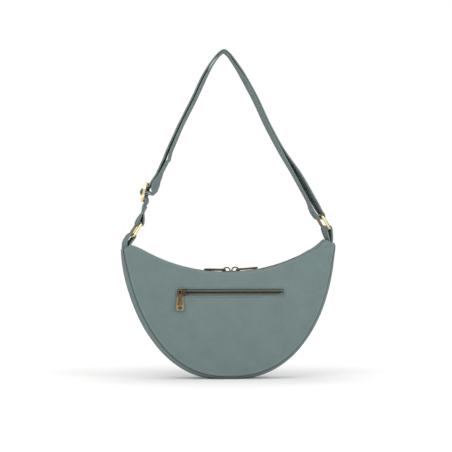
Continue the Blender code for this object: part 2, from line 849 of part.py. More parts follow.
def strap_line():
    knots = []
    for x, z in strap_midline_shares:
        knots.append(Vector((mix(left_bar.x, right_bar.x, x), mix(left_bar.z, strap_middle_top, z))))
    return smooth_line(knots, 4)


def strap_offsets(line):
    """Distance of each layer from the strap's middle line, opening round the right ring."""
    open_radius = ring_wire + open_clearance + webbing / 2
    top = line[-1] - line[-1] + Vector((mix(left_bar.x, right_bar.x, strap_midline_shares[8][0]),
                                        strap_middle_top))
    offsets = []
    for place in line:
        spread = mix(apex_spread, layer_gap, smooth_share((place - top).length / webbing_width))
        near = smooth_share(1 - (place - line[-1]).length / webbing_width)
        offsets.append(mix(webbing / 2 + spread, open_radius, near))
    return offsets


def travel_split(line):
    """The first point of the middle line above the adjuster's travel."""
    limit = adjuster_place.z + adjuster_short / 2 + adjuster_travel
    return next(index for index, place in enumerate(line) if place.y > limit)


def local_line(origin, shares, unit):
    return [flat(origin) + Vector((x, z)) * unit for x, z in shares]


def straps():
    """The strap's sections, from the left ring over the top to the right ring and back."""
    line = strap_line()
    offsets = strap_offsets(line)
    split = travel_split(line)
    radius = ring_wire + ring_clearance + webbing / 2
    knots = local_line(left_bar, [share[:2] for share in ring_loop_shares], tab_width) + [flat(left_bar)]
    gaps = [Vector((share[2] * tab_width, 0)) for share in ring_loop_shares] + [Vector((radius, 0))]
    low = smooth_line(knots, 4)
    low_offsets = [gap.x for gap in smooth_line(gaps, 4)]
    loop_path = looped(low[:-1], low_offsets[:-1], flat(left_bar), radius, 10)
    ribbon("strap_ring_loop", loop_path, webbing, webbing_width, strap_drape)

    open_radius = ring_wire + open_clearance + webbing / 2
    long_line, long_offsets = line[split:-1], offsets[split:-1]
    long_path = looped(long_line, long_offsets, flat(right_bar), open_radius, 10)
    ribbon("strap_long_run", long_path, webbing, webbing_width, strap_drape)

    bar_gap = adjuster_bar + ring_clearance
    end_thick = webbing - ring_clearance
    bar_radius = bar_gap + end_thick / 2
    weave_radius = bar_gap + end_thick + ring_clearance + webbing / 2
    middle = flat(adjuster_place)
    lean = Vector((math.sin(adjuster_lean), math.cos(adjuster_lean)))
    out = Vector((-lean.y, lean.x))
    before = local_line(adjuster_place, weave_before_shares, adjuster_long)
    after = local_line(adjuster_place, weave_after_shares, adjuster_long)
    arc = []
    steps = 10
    for step in range(steps + 1):
        turn = math.pi * (step / steps - 0.5)
        arc.append(middle + (lean * math.sin(turn) + out * math.cos(turn)) * weave_radius)
    ribbon("strap_weave", before + arc + after, webbing, webbing_width, strap_drape)

    end = local_line(adjuster_place, [bar_loop_share], adjuster_long)[0]
    way = (middle - end).normalized()
    bar_line = [mix(end, middle, share / 4) for share in range(4)]
    bar_offsets = [mix(end_thick / 2 + ring_clearance, bar_radius, (share / 4) ** 2) for share in range(4)]
    ribbon("strap_bar_loop", looped(bar_line, bar_offsets, middle, bar_radius, 10), end_thick,
           webbing_width, strap_drape)

    outer = [place + Vector((-w.y, w.x)) * o for place, w, o in zip(line, directions(line), offsets)]
    inner = [place - Vector((-w.y, w.x)) * o for place, w, o in zip(line, directions(line), offsets)]
    step = ring_clearance
    finish_outer = outer[split] - directions(line)[split] * step
    start_outer = after[-1] + (after[-1] - after[-2]).normalized() * step
    run = [place for place in outer[1:split] if place.y > start_outer.y + webbing]
    ribbon("strap_outer_run", smooth_line([start_outer, run[0], run[1]], 2)[:-2] + run[1:] + [finish_outer],
           webbing, webbing_width, strap_drape)
    knots = local_line(adjuster_place, return_shares, adjuster_long)
    run = [place for place in inner[1:split] if place.y > knots[-1].y + webbing]
    finish_inner = inner[split] - directions(line)[split] * step
    ribbon("strap_return_run", smooth_line(knots + [run[0]], 3)[:-1] + run + [finish_inner],
           webbing, webbing_width, strap_drape)


def main():
    clear_scene()
    front_panel()
    panel("back_panel", 1)
    gusset()
    top_strip("top_strip_front", -1)
    top_strip("top_strip_back", 1)
    main_tape("main_tape_front", -1)
    main_tape("main_tape_back", 1)
    pocket_tape("pocket_tape_lower", -1)
    pocket_tape("pocket_tape_upper", 1)
    pocket_bag()
    main_slider(-1)
    main_slider(1)
    pocket_slider_parts()
    tab("tab_left", left_pivot, tab_left_shares)
    tab("tab_right", right_pivot, tab_right_shares)
    ring("ring_left", left_pivot, ring_lean_left)
    ring("ring_right", right_pivot, ring_lean_right)
    adjuster()
    straps()


main()
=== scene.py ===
"""Half-moon belt bag in washed canvas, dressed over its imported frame: looks, camera and light."""

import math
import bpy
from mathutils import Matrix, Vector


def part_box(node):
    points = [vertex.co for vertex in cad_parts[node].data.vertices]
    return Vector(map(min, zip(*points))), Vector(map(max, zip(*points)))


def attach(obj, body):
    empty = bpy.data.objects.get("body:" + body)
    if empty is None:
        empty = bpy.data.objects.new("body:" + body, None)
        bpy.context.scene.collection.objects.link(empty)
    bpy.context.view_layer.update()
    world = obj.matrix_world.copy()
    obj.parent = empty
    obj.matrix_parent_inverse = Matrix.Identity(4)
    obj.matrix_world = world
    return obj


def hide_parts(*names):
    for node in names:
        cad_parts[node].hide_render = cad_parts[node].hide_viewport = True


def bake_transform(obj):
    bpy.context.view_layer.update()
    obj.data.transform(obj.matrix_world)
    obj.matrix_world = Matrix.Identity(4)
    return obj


bl_info = {
    "name": "Half-moon belt bag",
    "version": (1, 0, 0),
    "blender": (4, 5, 0),
    "location": "View3D > Sidebar > Belt bag",
    "description": "Models the looks of a half-moon belt bag over its packed frame",
    "category": "Object",
}

import bmesh
import bpy
from bpy.props import FloatProperty, PointerProperty, StringProperty
from mathutils import Matrix, Vector, noise

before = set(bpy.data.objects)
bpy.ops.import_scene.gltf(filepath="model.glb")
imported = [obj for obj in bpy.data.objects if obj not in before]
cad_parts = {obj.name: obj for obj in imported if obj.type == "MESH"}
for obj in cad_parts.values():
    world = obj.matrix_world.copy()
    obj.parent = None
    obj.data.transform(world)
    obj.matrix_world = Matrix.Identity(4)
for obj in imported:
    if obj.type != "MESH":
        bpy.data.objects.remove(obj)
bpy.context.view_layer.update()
MM = 0.001


def size_of(name, words, millimetres):
    """A size that the user can change, given in millimetres and kept in metres."""
    return FloatProperty(name=name, description=words, default=millimetres * MM, unit="LENGTH",
                         precision=5)


def turn_of(name, words, degrees):
    return FloatProperty(name=name, description=words, default=math.radians(degrees), subtype="ANGLE")


def hex_of(name, words, code):
    return StringProperty(name=name, description=words, default=code)


class BagSizes(bpy.types.PropertyGroup):
    """Sizes of the canvas body."""

    half_width: size_of("Half width", "From the middle to a tip", 161)
    flat_sink: size_of("Flat sink", "How far the flat bottom cuts into the round outline", 2.5)
    tip_left: size_of("Left tip height", "Height of the left tip above the floor", 195)
    tip_right: size_of("Right tip height", "Height of the right tip above the floor", 203)
    crown_middle: size_of("Gusset crown", "Bulge of the gusset at the bottom", 6.0)
    crown_left: size_of("Gusset crown at the left", "Bulge of the gusset up the left side", 7.0)
    crown_right: size_of("Gusset crown at the right", "Bulge of the gusset up the right side", 5.6)
    crown_tip: size_of("Gusset crown at the tips", "Bulge of the gusset at the tips", 1.8)
    low_half_depth: size_of("Half depth below", "Half the depth at the bottom seam", 27.5)
    top_half_depth: size_of("Half depth above", "Half the depth at the top edge", 23.5)
    tip_half_depth: size_of("Half depth at the tips", "Half the depth at the tips", 17)
    belly: size_of("Belly", "Swell of the panels beyond a straight side", 7)
    canvas: size_of("Canvas thickness", "Thickness of the panels with their lining", 1.6)
    seat_gap: size_of("Seat gap", "Clearance between sewn pieces", 0.3)
    top_height: size_of("Top edge height", "Lowest point of the curved top edge", 158)
    top_radius: size_of("Top edge radius", "Radius of the curved top edge and zip", 256)
    top_end_left: size_of("Top edge left end", "Where the top edge ends at the left", 147)
    top_end_right: size_of("Top edge right end", "Where the top edge ends at the right", 146)
    tip_drop_left: size_of("Left end drop", "How far the left end bends off the arc", -4.4)
    tip_rise_right: size_of("Right end rise", "How far the right end bends off the arc", 3.7)
    tip_swell_left: size_of("Left tip swell", "How far the left tip swells past the outline", -0.3)
    tip_swell_right: size_of("Right tip swell", "How far the right tip swells past the outline", 1.2)
    tip_round: size_of("Tip rounding", "How far the tips' corners are rounded off", 2.6)
    seam_roll: size_of("Seam roll", "How far an edge turns in at its seam", 1.7)
    strip_end: size_of("Strip end", "How far inside the top edge's ends the strips end", 2)
    gusset_roll: size_of("Gusset roll", "How far the gusset's edges turn in at its seams", 1.2)
    rest_free: size_of("Rest height", "Height up to which the gusset lies smooth on the floor", 40)
    crease: size_of("Crease height", "Height of the soft undulations of the canvas", 0.55)
    pucker: size_of("Pucker height", "Height of the gathers along the seams", 0.32)
    stitch_length: size_of("Stitch length", "Length of one topstitch", 3.1)
    stitch_gap: size_of("Stitch gap", "Gap between two topstitches", 0.9)
    thread: size_of("Thread thickness", "Thickness of the sewing thread", 0.55)


class ZipSizes(bpy.types.PropertyGroup):
    """Sizes of the two zips."""

    zip_end: size_of("Zip end", "Where the main zip ends at either side", 118)
    chain_shift: size_of("Chain shift", "Sideways shift of the main zip's arc", -3)
    ridge: size_of("Ridge", "How far the strips rise towards the zip", 1)
    slit_tail: size_of("Slit tail", "How far the slit runs on past the main zip's end", 8)
    slit_half: size_of("Half slit", "Half the width of the slit over the main zip", 4)
    strip_puff: size_of("Strip puff", "How far the strips bulge beside the main zip", 0.9)
    strip_rise: size_of("Strip rise", "How far the strips' inner edges rise beside the pulls", 0.9)
    strip_fold: size_of("Strip fold", "How far the strips' inner edges turn down", 0.5)
    strip_sag: size_of("Strip sag", "How far the strips' inner edges sag at the right", 1.0)
    stand_right: size_of("Zip stand", "How far the main zip stands out of its slit at the right", 0.4)
    strip_canvas: size_of("Strip thickness", "Thickness of the strips beside the zip", 1.2)
    tape: size_of("Tape thickness", "Thickness of the zip tapes", 0.8)
    tape_set: size_of("Tape set", "From the panel's back to the pocket's tapes", 0.5)
    tape_tail: size_of("Tape tail", "How far a tape runs on past its opening", 2)
    tape_edge: size_of("Tape edge", "From the middle line to the tape's inner edge", 1.1)
    tape_width: size_of("Tape width", "From the middle line to the tape's outer edge", 10)
    pitch: size_of("Tooth pitch", "From one tooth to the next on a tape", 3.3)
    tooth_length: size_of("Tooth length", "Size of a tooth along the zip", 1.5)
    tooth_height: size_of("Tooth height", "Size of a tooth through the zip", 3.3)
    tooth_reach: size_of("Tooth reach", "How far a tooth reaches past the middle line", 0.5)
    tooth_grip: size_of("Tooth grip", "How far a tooth reaches back over its tape", 3.1)
    window_left: size_of("Window left", "Left end of the pocket's window", -78)
    window_right: size_of("Window right", "Right end of the pocket's window", 82)
    window_height: size_of("Window height", "Height of the window's middle line", 129.5)
    window_half: size_of("Half window", "Half the height of the window", 5.25)
    window_corner: size_of("Window corner", "Radius of the window's corners", 3.2)
    window_dip: size_of("Window dip", "How far the panel dips round the window", 0.45)
    slider_edge: size_of("Slider edge", "Rounding of the sliders' edges", 0.35)
    slider_grow: size_of("Slider thickening", "How much thicker a main slider is than the frame's", 0.25)
    pull_edge: size_of("Pull edge", "Rounding of the main pulls' edges", 0.6)
    pull_grow: size_of("Pull thickening", "How much thicker the main pulls are than the frame's", 0.55)
    pocket_pull_edge: size_of("Pocket pull edge", "Rounding of the pocket pull's edges", 0.3)
    slider_stretch: size_of("Slider stretch", "Stretch of the pocket's tapes under its slider", 6)
    slider_clear: size_of("Slider clearance", "From a main slider's middle to the first tooth", 8.2)
    teeth_left: size_of("Pocket teeth start", "Where the pocket's teeth start", -62.3)
    teeth_right: size_of("Pocket teeth end", "Where the pocket's teeth end", 79.5)


class StrapSizes(bpy.types.PropertyGroup):
    """Sizes of the webbing, the rings and the adjuster."""

    webbing: size_of("Webbing thickness", "Thickness of the strap's webbing", 2.2)
    webbing_width: size_of("Webbing width", "Width of the strap's webbing", 29)
    tab_width: size_of("Tab width", "Width of the short tabs at the tips", 28)
    ring_wire: size_of("Ring wire radius", "Radius of the rings' wire", 2.25)
    ring_short: size_of("Ring length", "From a ring's lower bar to its upper bar", 22.5)
    clearance: size_of("Bar clearance", "Clearance of webbing round a bar", 0.3)
    open_clearance: size_of("Open clearance", "Clearance of the strap round the right ring", 1.3)
    left_x: size_of("Left ring across", "Place of the left ring's lower bar", -144.8)
    left_z: size_of("Left ring height", "Height of the left ring's lower bar", 213.0)
    right_x: size_of("Right ring across", "Place of the right ring's lower bar", 148.8)
    right_z: size_of("Right ring height", "Height of the right ring's lower bar", 224.2)
    adjuster_x: size_of("Adjuster across", "Place of the adjuster's middle", -123.3)
    adjuster_z: size_of("Adjuster place height", "Height of the adjuster's middle", 278.2)
    slack: size_of("Slack", "How far each layer bellies out above the right ring", 1.8)
    layer_gap: size_of("Layer gap", "Half the gap between the strap's layers", 0.9)
    apex_gap: size_of("Apex gap", "Half the gap between the layers at the apex", 0.3)
    top: size_of("Strap top", "Height of the strap's apex", 492)
    ring_yaw: turn_of("Ring yaw", "Turn of the rings about the upright", -9)
    lean_left: turn_of("Left ring lean", "Lean of the left ring", 32.7)
    lean_right: turn_of("Right ring lean", "Lean of the right ring", -31.5)
    adjuster_yaw: turn_of("Adjuster yaw", "Turn of the adjuster about the upright", 12)
    adjuster_lean: turn_of("Adjuster lean", "Lean of the adjuster", 13.9)
    left_leg_yaw: turn_of("Left leg yaw", "Turn of the strap's left leg", 9.5)
    top_yaw: turn_of("Top yaw", "Turn of the strap at its apex", 3)
    inner_yaw: turn_of("Inner layer yaw", "Turn of the right leg's left layer", -6)
    outer_yaw: turn_of("Outer layer yaw", "Turn of the right leg's right layer", 1)
    inner_low_yaw: turn_of("Inner layer yaw below", "Turn of the left layer above the right ring", -1)
    outer_low_yaw: turn_of("Outer layer yaw below", "Turn of the right layer above the right ring", -13)
    return_turn: turn_of("Return turn", "Extra turn of the return run above the adjuster", 13)
    adjuster_long: size_of("Adjuster width", "Outside width of the adjuster", 38)
    adjuster_short: size_of("Adjuster height", "Outside height of the adjuster", 30)
    adjuster_bar: size_of("Adjuster bar radius", "Radius of the adjuster's middle bar", 1.8)
    adjuster_corner: size_of("Adjuster corner", "Radius of the adjuster's rounded corners", 7)
    adjuster_edge: size_of("Adjuster edge", "Rounding of the adjuster's edges", 0.8)
    ring_shrink: size_of("Ring shrink", "How far a ring's wire is drawn in before it is rounded", 0.2)
    blend_length: size_of("Blend length", "How much webbing stretches as the adjuster slides", 165)


class BagColours(bpy.types.PropertyGroup):
    """Colours as sRGB hex values."""

    canvas: hex_of("Canvas", "Washed grey-green cotton canvas", "#718382")
    canvas_thread: hex_of("Canvas shade", "Shaded side of the canvas threads", "#5f6d6a")
    webbing: hex_of("Webbing", "Cotton webbing, a little cooler than the canvas", "#758684")
    webbing_rib: hex_of("Webbing shade", "Valleys between the webbing's ribs", "#5a6866")
    # Painted light: the tape is a little paler than the canvas that it matches, as it lies shaded in its
    # window and slit.
    tape: hex_of("Zip tape", "Woven zip tape", "#798a87")
    thread: hex_of("Thread", "Sewing thread", "#5d6c6a")
    lining: hex_of("Lining", "Pocket lining cloth", "#7d8a86")
    antique: hex_of("Antique brass", "Oxidised brass of the pocket's slider", "#695c48")
    antique_worn: hex_of("Worn antique brass", "Rubbed edges of the pocket's slider", "#a68d5e")
    dark: hex_of("Dark brass", "Dark oxidised brass of the main zip", "#594c38")
    dark_worn: hex_of("Worn dark brass", "Rubbed edges of the main zip's pulls", "#a08b5e")
    tooth: hex_of("Tooth", "Brown oxidised brass of the teeth", "#4a3a29")
    tooth_worn: hex_of("Worn tooth", "Rubbed edges of the teeth", "#a5845a")
    brass: hex_of("Brass", "Pale polished brass of the rings", "#e4d0a0")
    brass_shade: hex_of("Brass tarnish", "Warm tarnish on the pale brass", "#b99b5e")
    antique_deep: hex_of("Antique tarnish", "Tarnish on the pocket's slider", "#4a3826")
    dark_deep: hex_of("Dark tarnish", "Tarnish on the main zip's castings", "#33291c")
    tooth_deep: hex_of("Tooth tarnish", "Tarnish on the teeth", "#2f2419")
    # Painted shade: the pale brass's far side is painted this dark brown.
    brass_far_shade: hex_of("Brass far side", "Deep tarnish on the far side of the pale brass", "#5a452c")
    floor: hex_of("Floor", "Plain pale studio floor", "#f4f4f3")


def bag():
    return bpy.context.scene.bag_sizes


def zips():
    return bpy.context.scene.zip_sizes


def strap():
    return bpy.context.scene.strap_sizes


def colours():
    return bpy.context.scene.bag_colours


# Small sums

def mix(first, second, share):
    return first + (second - first) * share


def ease(value):
    value = min(max(value, 0), 1)
    return value * value * (3 - 2 * value)


def wander(x, y, seed, scale):
    """Smooth noise from -1 to 1, with its features scale millimetres apart."""
    across, up = x / (scale * MM), y / (scale * MM)
    return noise.noise(Vector((across + seed, up - seed, seed * 0.37)))


def swells(away, table):
    """Smooth swells beside an edge, given as (strength, place, spread), the last two in millimetres."""
    return sum(strength * math.exp(-((away / MM - place) / spread) ** 2)
               for strength, place, spread in table)


def fading(away, reach):
    """From 1 at an edge to nearly 0 at a few times reach millimetres from it."""
    return math.exp(-away / (reach * MM))


def rolled(away, reach, power=2):
    """How far an edge is turned in: 1 at the edge itself, 0 from reach millimetres on."""
    return max(0, 1 - away / (reach * MM)) ** power


# The bag's surfaces, the same as the frame's

def tip_height(turn):
    return bag().tip_right if turn > 0 else bag().tip_left


# How the outline's reach and its drop bend, at the left and at the right.
OUTLINE_SHARES = ((0.845, 1.21), (0.85, 1.03))


def outline_point(turn):
    """The bag's outline from the front: -1 at the left tip, 0 at the bottom, 1 at the right tip."""
    reach_share, drop_share = OUTLINE_SHARES[turn > 0]
    angle = turn * math.pi / 2
    high = tip_height(turn)
    z = high - (high + bag().flat_sink) * abs(math.cos(angle)) ** drop_share
    swell = bag().tip_swell_right if turn > 0 else bag().tip_swell_left
    swell *= ease((abs(turn) - 0.9) / 0.08)
    swell -= bag().tip_round * max(0, (abs(turn) - 0.975) / 0.025) ** 2
    reach = bag().half_width * abs(math.sin(angle)) ** reach_share + swell
    return Vector((math.copysign(reach, turn), z))


def outline_normal(turn):
    step = 1 / 352
    along = outline_point(min(turn + step, 1)) - outline_point(max(turn - step, -1))
    return Vector((along.y, -along.x)).normalized()


def crown_at(turn):
    b = bag()
    side = b.crown_right if turn > 0 else b.crown_left
    return mix(mix(b.crown_middle, side, ease(2 * abs(turn))), b.crown_tip, abs(turn) ** 10)


def seam_point(turn):
    return outline_point(turn) - outline_normal(turn) * crown_at(turn)


def top_end(x):
    return bag().top_end_right if x > 0 else bag().top_end_left


def top_edge(x, shift=0, lift=0):
    radius = bag().top_radius
    height = bag().top_height + lift + radius - math.sqrt(radius ** 2 - (x - shift) ** 2)
    rise = bag().tip_rise_right if x > 0 else bag().tip_drop_left
    start = zips().zip_end + zips().slit_tail
    beyond = max(0, (abs(x) - start) / (top_end(x) - start))
    return height + rise * beyond ** 2


def panel_depth(x, z):
    """Half the bag's depth at a point of the front view."""
    b = bag()
    out = min(abs(x) / b.half_width, 1)
    edge_top = mix(b.top_half_depth, b.tip_half_depth, out ** 2)
    edge_low = mix(b.low_half_depth, b.tip_half_depth, out ** 3)
    high = tip_height(x)
    reach_share, drop_share = OUTLINE_SHARES[x > 0]
    reach = max(1 - out ** (2 / reach_share), 0) ** (drop_share / 2)
    low = high - (high - b.crown_middle + b.flat_sink) * reach
    top = top_edge(math.copysign(min(abs(x), top_end(x)), x))
    down = min(max((top - z) / max(top - low, b.canvas), 0), 1)
    swell = b.belly * (4 * down * (1 - down)) ** 0.8 * (1 - out ** 4)
    return mix(edge_top, edge_low, down) + swell


def seat_half(x, z):
    return panel_depth(x, z) - bag().canvas - bag().seat_gap


def chain_normal(x):
    lean = math.asin((x - zips().chain_shift) / bag().top_radius)
    return Vector((-math.sin(lean), 0, math.cos(lean)))


def strip_height(x, across):
    """Height of the top strips' outside at x, across metres from the zip."""
    edge = seat_half(x, top_edge(x))
    share = min(max((abs(across) - zips().slit_half) / (edge - zips().slit_half), 0), 1)
    return mix(top_edge(x, zips().chain_shift, zips().ridge), top_edge(x), share)


def slit_at(x):
    closing = ease((abs(x) - zips().zip_end) / zips().slit_tail)
    return mix(zips().slit_half, bag().seat_gap, closing)


def chain_place(along, across, lift):
    """A point on the main zip: along its arc, across from its middle line, lift above the strips."""
    lift += zips().stand_right * bare(along)
    lean = along / bag().top_radius
    reach = bag().top_radius - lift
    x = zips().chain_shift + reach * math.sin(lean)
    z = bag().top_height + zips().ridge + bag().top_radius - reach * math.cos(lean)
    sag = strip_height(x, across) - top_edge(x, zips().chain_shift, zips().ridge)
    return Vector((x, across, z + sag))


def pocket_frame(x):
    """Matrix on the pocket's tapes at x: X along the zip, Y up the panel, Z outwards."""
    step, z = bag().canvas, zips().window_height
    slope = (panel_depth(x, z + step) - panel_depth(x, z - step)) / (2 * step)
    out = Vector((0, -1, -slope)).normalized()
    back = bag().canvas + zips().tape_set + zips().tape / 2
    along = Vector((1, 0, 0))
    turn = Matrix((along, out.cross(along), out)).transposed().to_4x4()
    return Matrix.Translation(Vector((x, -panel_depth(x, z), z)) - out * back) @ turn


# Making and shaping pieces

def clear_selection():
    if bpy.context.mode != "OBJECT":
        bpy.ops.object.mode_set(mode="OBJECT")
    bpy.ops.object.select_all(action="DESELECT")


def choose(piece):
    clear_selection()
    piece.select_set(True)
    bpy.context.view_layer.objects.active = piece


def put_in_scene(name, data):
    made = bpy.data.objects.new(name, data)
    bpy.context.scene.collection.objects.link(made)
    return made


def node_copy(name, node):
    """A copy of a CAD node, without the normals that its mesh was packed with."""
    piece = put_in_scene(name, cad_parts[node].data.copy())
    choose(piece)
    bpy.ops.mesh.customdata_custom_splitnormals_clear()
    return piece


def newest(name):
    piece = bpy.context.active_object
    piece.name = name
    piece.data.name = name
    return piece


def edit(piece, *steps):
    """Runs edit-mode operators, given as (operator, settings), on all of a piece."""
    choose(piece)
    bpy.ops.object.mode_set(mode="EDIT")
    bpy.ops.mesh.select_all(action="SELECT")
    for operator, settings in steps:
        operator(**settings)
    bpy.ops.object.mode_set(mode="OBJECT")


def apply_modifier(piece, kind, **settings):
    choose(piece)
    added = piece.modifiers.new(kind.title(), kind)
    for key, value in settings.items():
        setattr(added, key, value)
    bpy.ops.object.modifier_apply(modifier=added.name)


def cut_with(piece, cutter):
    apply_modifier(piece, "BOOLEAN", operation="DIFFERENCE", solver="EXACT", object=cutter)
    bpy.data.objects.remove(cutter, do_unlink=True)


def smooth(piece, degrees=40):
    choose(piece)
    bpy.ops.object.shade_smooth_by_angle(angle=math.radians(degrees))


def settle(piece):
    """Puts a piece's place into its mesh, so that its object sits at the origin."""
    choose(piece)
    bpy.ops.object.transform_apply(location=True, rotation=True, scale=True)


def join(name, pieces):
    clear_selection()
    for piece in pieces:
        piece.select_set(True)
    bpy.context.view_layer.objects.active = pieces[0]
    if len(pieces) > 1:
        bpy.ops.object.join()
    return newest(name)


def sheet(name, columns, rows, surface, weave):
    """A grid laid on a surface: surface(u, v) gives the place of u and v from 0 to 1.

    weave(u, v, place) gives the UV of a corner in metres, so that a woven pattern keeps its scale.
    """
    clear_selection()
    bpy.ops.mesh.primitive_grid_add(x_subdivisions=columns, y_subdivisions=rows, size=1)
    piece = newest(name)
    mesh = piece.data
    spots = [(vertex.co.x + 0.5, vertex.co.y + 0.5) for vertex in mesh.vertices]
    for vertex, spot in zip(mesh.vertices, spots):
        vertex.co = surface(*spot)
    for loop, corner in zip(mesh.loops, mesh.uv_layers.active.data):
        corner.uv = weave(*spots[loop.vertex_index], mesh.vertices[loop.vertex_index].co)
    return piece


def facing(piece, way):
    """Turns a sheet's faces so that most of them look towards a direction or away from a point."""
    total = sum(face.normal.dot(way(face.center)) * face.area for face in piece.data.polygons)
    if total < 0:
        edit(piece, (bpy.ops.mesh.flip_normals, {}))


def dress(piece, body, material, nodes=()):
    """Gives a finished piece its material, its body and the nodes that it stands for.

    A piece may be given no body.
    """
    if material is not None:
        piece.data.materials.clear()
        piece.data.materials.append(material)
    if body:
        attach(piece, body)
    if nodes:
        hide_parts(*nodes)
    return piece


# Materials

def linear(code):
    """An sRGB hex value as a linear colour."""
    channels = [int(code[start:start + 2], 16) / 255 for start in (1, 3, 5)]
    return tuple(c / 12.92 if c <= 0.04045 else ((c + 0.055) / 1.055) ** 2.4 for c in channels) + (1,)


def tone(name):
    """One of the bag's colours by its name, as a linear colour."""
    return linear(getattr(colours(), name))


ADD, MULTIPLY, MULTIPLY_ADD, MAXIMUM, SINE, PINGPONG, LENGTH, SCALE = (
    {"operation": name} for name in ("ADD", "MULTIPLY", "MULTIPLY_ADD", "MAXIMUM", "SINE", "PINGPONG",
                                     "LENGTH", "SCALE"))
NUMBERS, TONES = {"data_type": "FLOAT"}, {"data_type": "RGBA"}


def fill_sockets(tree, node, **values):
    """Gives a node's inputs values, or links them to sockets. A key is i and a number, or a name."""
    for key, value in values.items():
        socket = node.inputs[int(key[1:])] if key[1:].isdigit() else node.inputs[key.replace("_", " ")]
        if isinstance(value, bpy.types.NodeSocket):
            tree.links.new(value, socket)
        else:
            socket.default_value = value


def add_node(tree, kind, settings=None, out=0, **inputs):
    """Adds a node and returns one of its outputs. Settings are the node's own options."""
    made = tree.nodes.new("ShaderNode" + kind)
    for key, value in (settings or {}).items():
        setattr(made, key, value)
    fill_sockets(tree, made, **inputs)
    return made.outputs[out]


def new_material(name):
    """A material with its shader, ready for its pattern."""
    made = bpy.data.materials.new(name)
    made.use_nodes = True
    return made, made.node_tree, made.node_tree.nodes["Principled BSDF"]


def uv_metres(tree):
    """The piece's own UV map, which is in metres, and its distances along and across."""
    spot = add_node(tree, "UVMap")
    split = add_node(tree, "SeparateXYZ", i0=spot).node.outputs
    return spot, split[0], split[1]


def threads(tree, run, spacing):
    """A wave from 0 to 1 across threads that lie spacing metres apart."""
    turned = add_node(tree, "Math", MULTIPLY, i0=run, i1=2 * math.pi / spacing)
    wave = add_node(tree, "Math", SINE, i0=turned)
    return add_node(tree, "Math", MULTIPLY_ADD, i0=wave, i1=0.5, i2=0.5)


def washed_canvas():
    """Cotton canvas, piece-dyed and washed: matt, a visible plain weave, and a soft mottle."""
    made, tree, shader = new_material("Washed cotton canvas, plain weave")
    spot, along, across = uv_metres(tree)
    # Real threads lie 0.5 mm apart; drawn at 1.1 mm so that the weave shows at all.
    spacing = 1.1 * MM
    weft, warp = threads(tree, along, spacing), threads(tree, across, spacing)
    over = add_node(tree, "TexChecker", out="Fac", Vector=spot, Scale=1 / spacing)
    weave = add_node(tree, "Mix", NUMBERS, i0=over, i2=weft, i3=warp)
    # Slubs are thick stretches of thread: 16 mm long along the weft, 22 mm along the warp.
    along_weft = add_node(tree, "Mapping", Vector=spot, Scale=(1 / (16 * MM), 1 / spacing, 1))
    along_warp = add_node(tree, "Mapping", Vector=spot, Scale=(1 / (1.3 * MM), 1 / (22 * MM), 1))
    thick_weft = add_node(tree, "TexNoise", Vector=along_weft, Scale=1.0, Detail=3.0)
    thick_warp = add_node(tree, "TexNoise", Vector=along_warp, Scale=1.0, Detail=2.0)
    # The dye washed out in clouds of about 30 mm; the cotton's fuzz is drawn at 0.7 mm.
    clouds = add_node(tree, "TexNoise", Vector=spot, Scale=1 / (30 * MM), Detail=5.0, Roughness=0.6)
    fuzz = add_node(tree, "TexNoise", Vector=spot, Scale=1 / (0.7 * MM), Detail=2.0)
    valley = add_node(tree, "MapRange", Value=weave, i1=0.15, i2=0.75, i3=0.34, i4=0.0)
    base = add_node(tree, "Mix", TONES, 2, i0=valley, i6=tone("canvas"), i7=tone("canvas_thread"))
    slub = add_node(tree, "Math", ADD, i0=thick_weft, i1=thick_warp)
    streak = add_node(tree, "MapRange", Value=slub, i1=0.7, i2=1.3, i3=0.94, i4=1.06)
    cloud = add_node(tree, "MapRange", Value=clouds, i1=0.3, i2=0.7, i3=0.94, i4=1.06)
    # The rubbed attribute pales the canvas above 0 and darkens it below 0: paler edges and ridges,
    # painted light on the gusset and round the window, and painted shade in the seams and the
    # stitching's furrow.
    rubbed = add_node(tree, "Attribute", {"attribute_name": "rubbed"}, "Fac")
    lift = add_node(tree, "Math", MULTIPLY_ADD, i0=rubbed, i1=0.17, i2=1.0)
    shade = add_node(tree, "Math", MULTIPLY, i0=streak, i1=cloud)
    shade = add_node(tree, "Math", MULTIPLY, i0=shade, i1=lift)
    height = add_node(tree, "Math", MULTIPLY_ADD, i0=fuzz, i1=0.5, i2=weave)
    fill_sockets(tree, shader, Base_Color=add_node(tree, "VectorMath", SCALE, i0=base, Scale=shade),
                 Normal=add_node(tree, "Bump", Height=height, Strength=0.55, Distance=0.16 * MM),
                 Roughness=0.92, Specular_IOR_Level=0.22, Sheen_Weight=0.12, Sheen_Roughness=0.6)
    return made


def ribbed_webbing(name, colour, valley_colour, pitch, field, depth):
    """Woven tape or webbing: matt twill ribs that turn every field, in millimetres like the rest."""
    made, tree, shader = new_material(name)
    spot, along, across = uv_metres(tree)
    zigzag = add_node(tree, "Math", PINGPONG, i0=across, i1=field * MM)
    slant = add_node(tree, "Math", ADD, i0=along, i1=zigzag)
    rib, yarn = threads(tree, slant, pitch * MM), threads(tree, across, pitch / 2 * MM)
    weave = add_node(tree, "Math", MULTIPLY_ADD, i0=yarn, i1=0.25, i2=rib)
    clouds = add_node(tree, "TexNoise", Vector=spot, Scale=1 / (12 * MM), Detail=4.0)
    valley = add_node(tree, "MapRange", Value=weave, i1=0.1, i2=0.9, i3=0.6, i4=0.0)
    base = add_node(tree, "Mix", TONES, 2, i0=valley, i6=tone(colour), i7=tone(valley_colour))
    cloud = add_node(tree, "MapRange", Value=clouds, i1=0.3, i2=0.7, i3=0.93, i4=1.07)
    fill_sockets(tree, shader, Base_Color=add_node(tree, "VectorMath", SCALE, i0=base, Scale=cloud),
                 Normal=add_node(tree, "Bump", Height=weave, Strength=0.5, Distance=depth * MM),
                 Roughness=0.88, Specular_IOR_Level=0.25, Sheen_Weight=0.1)
    return made


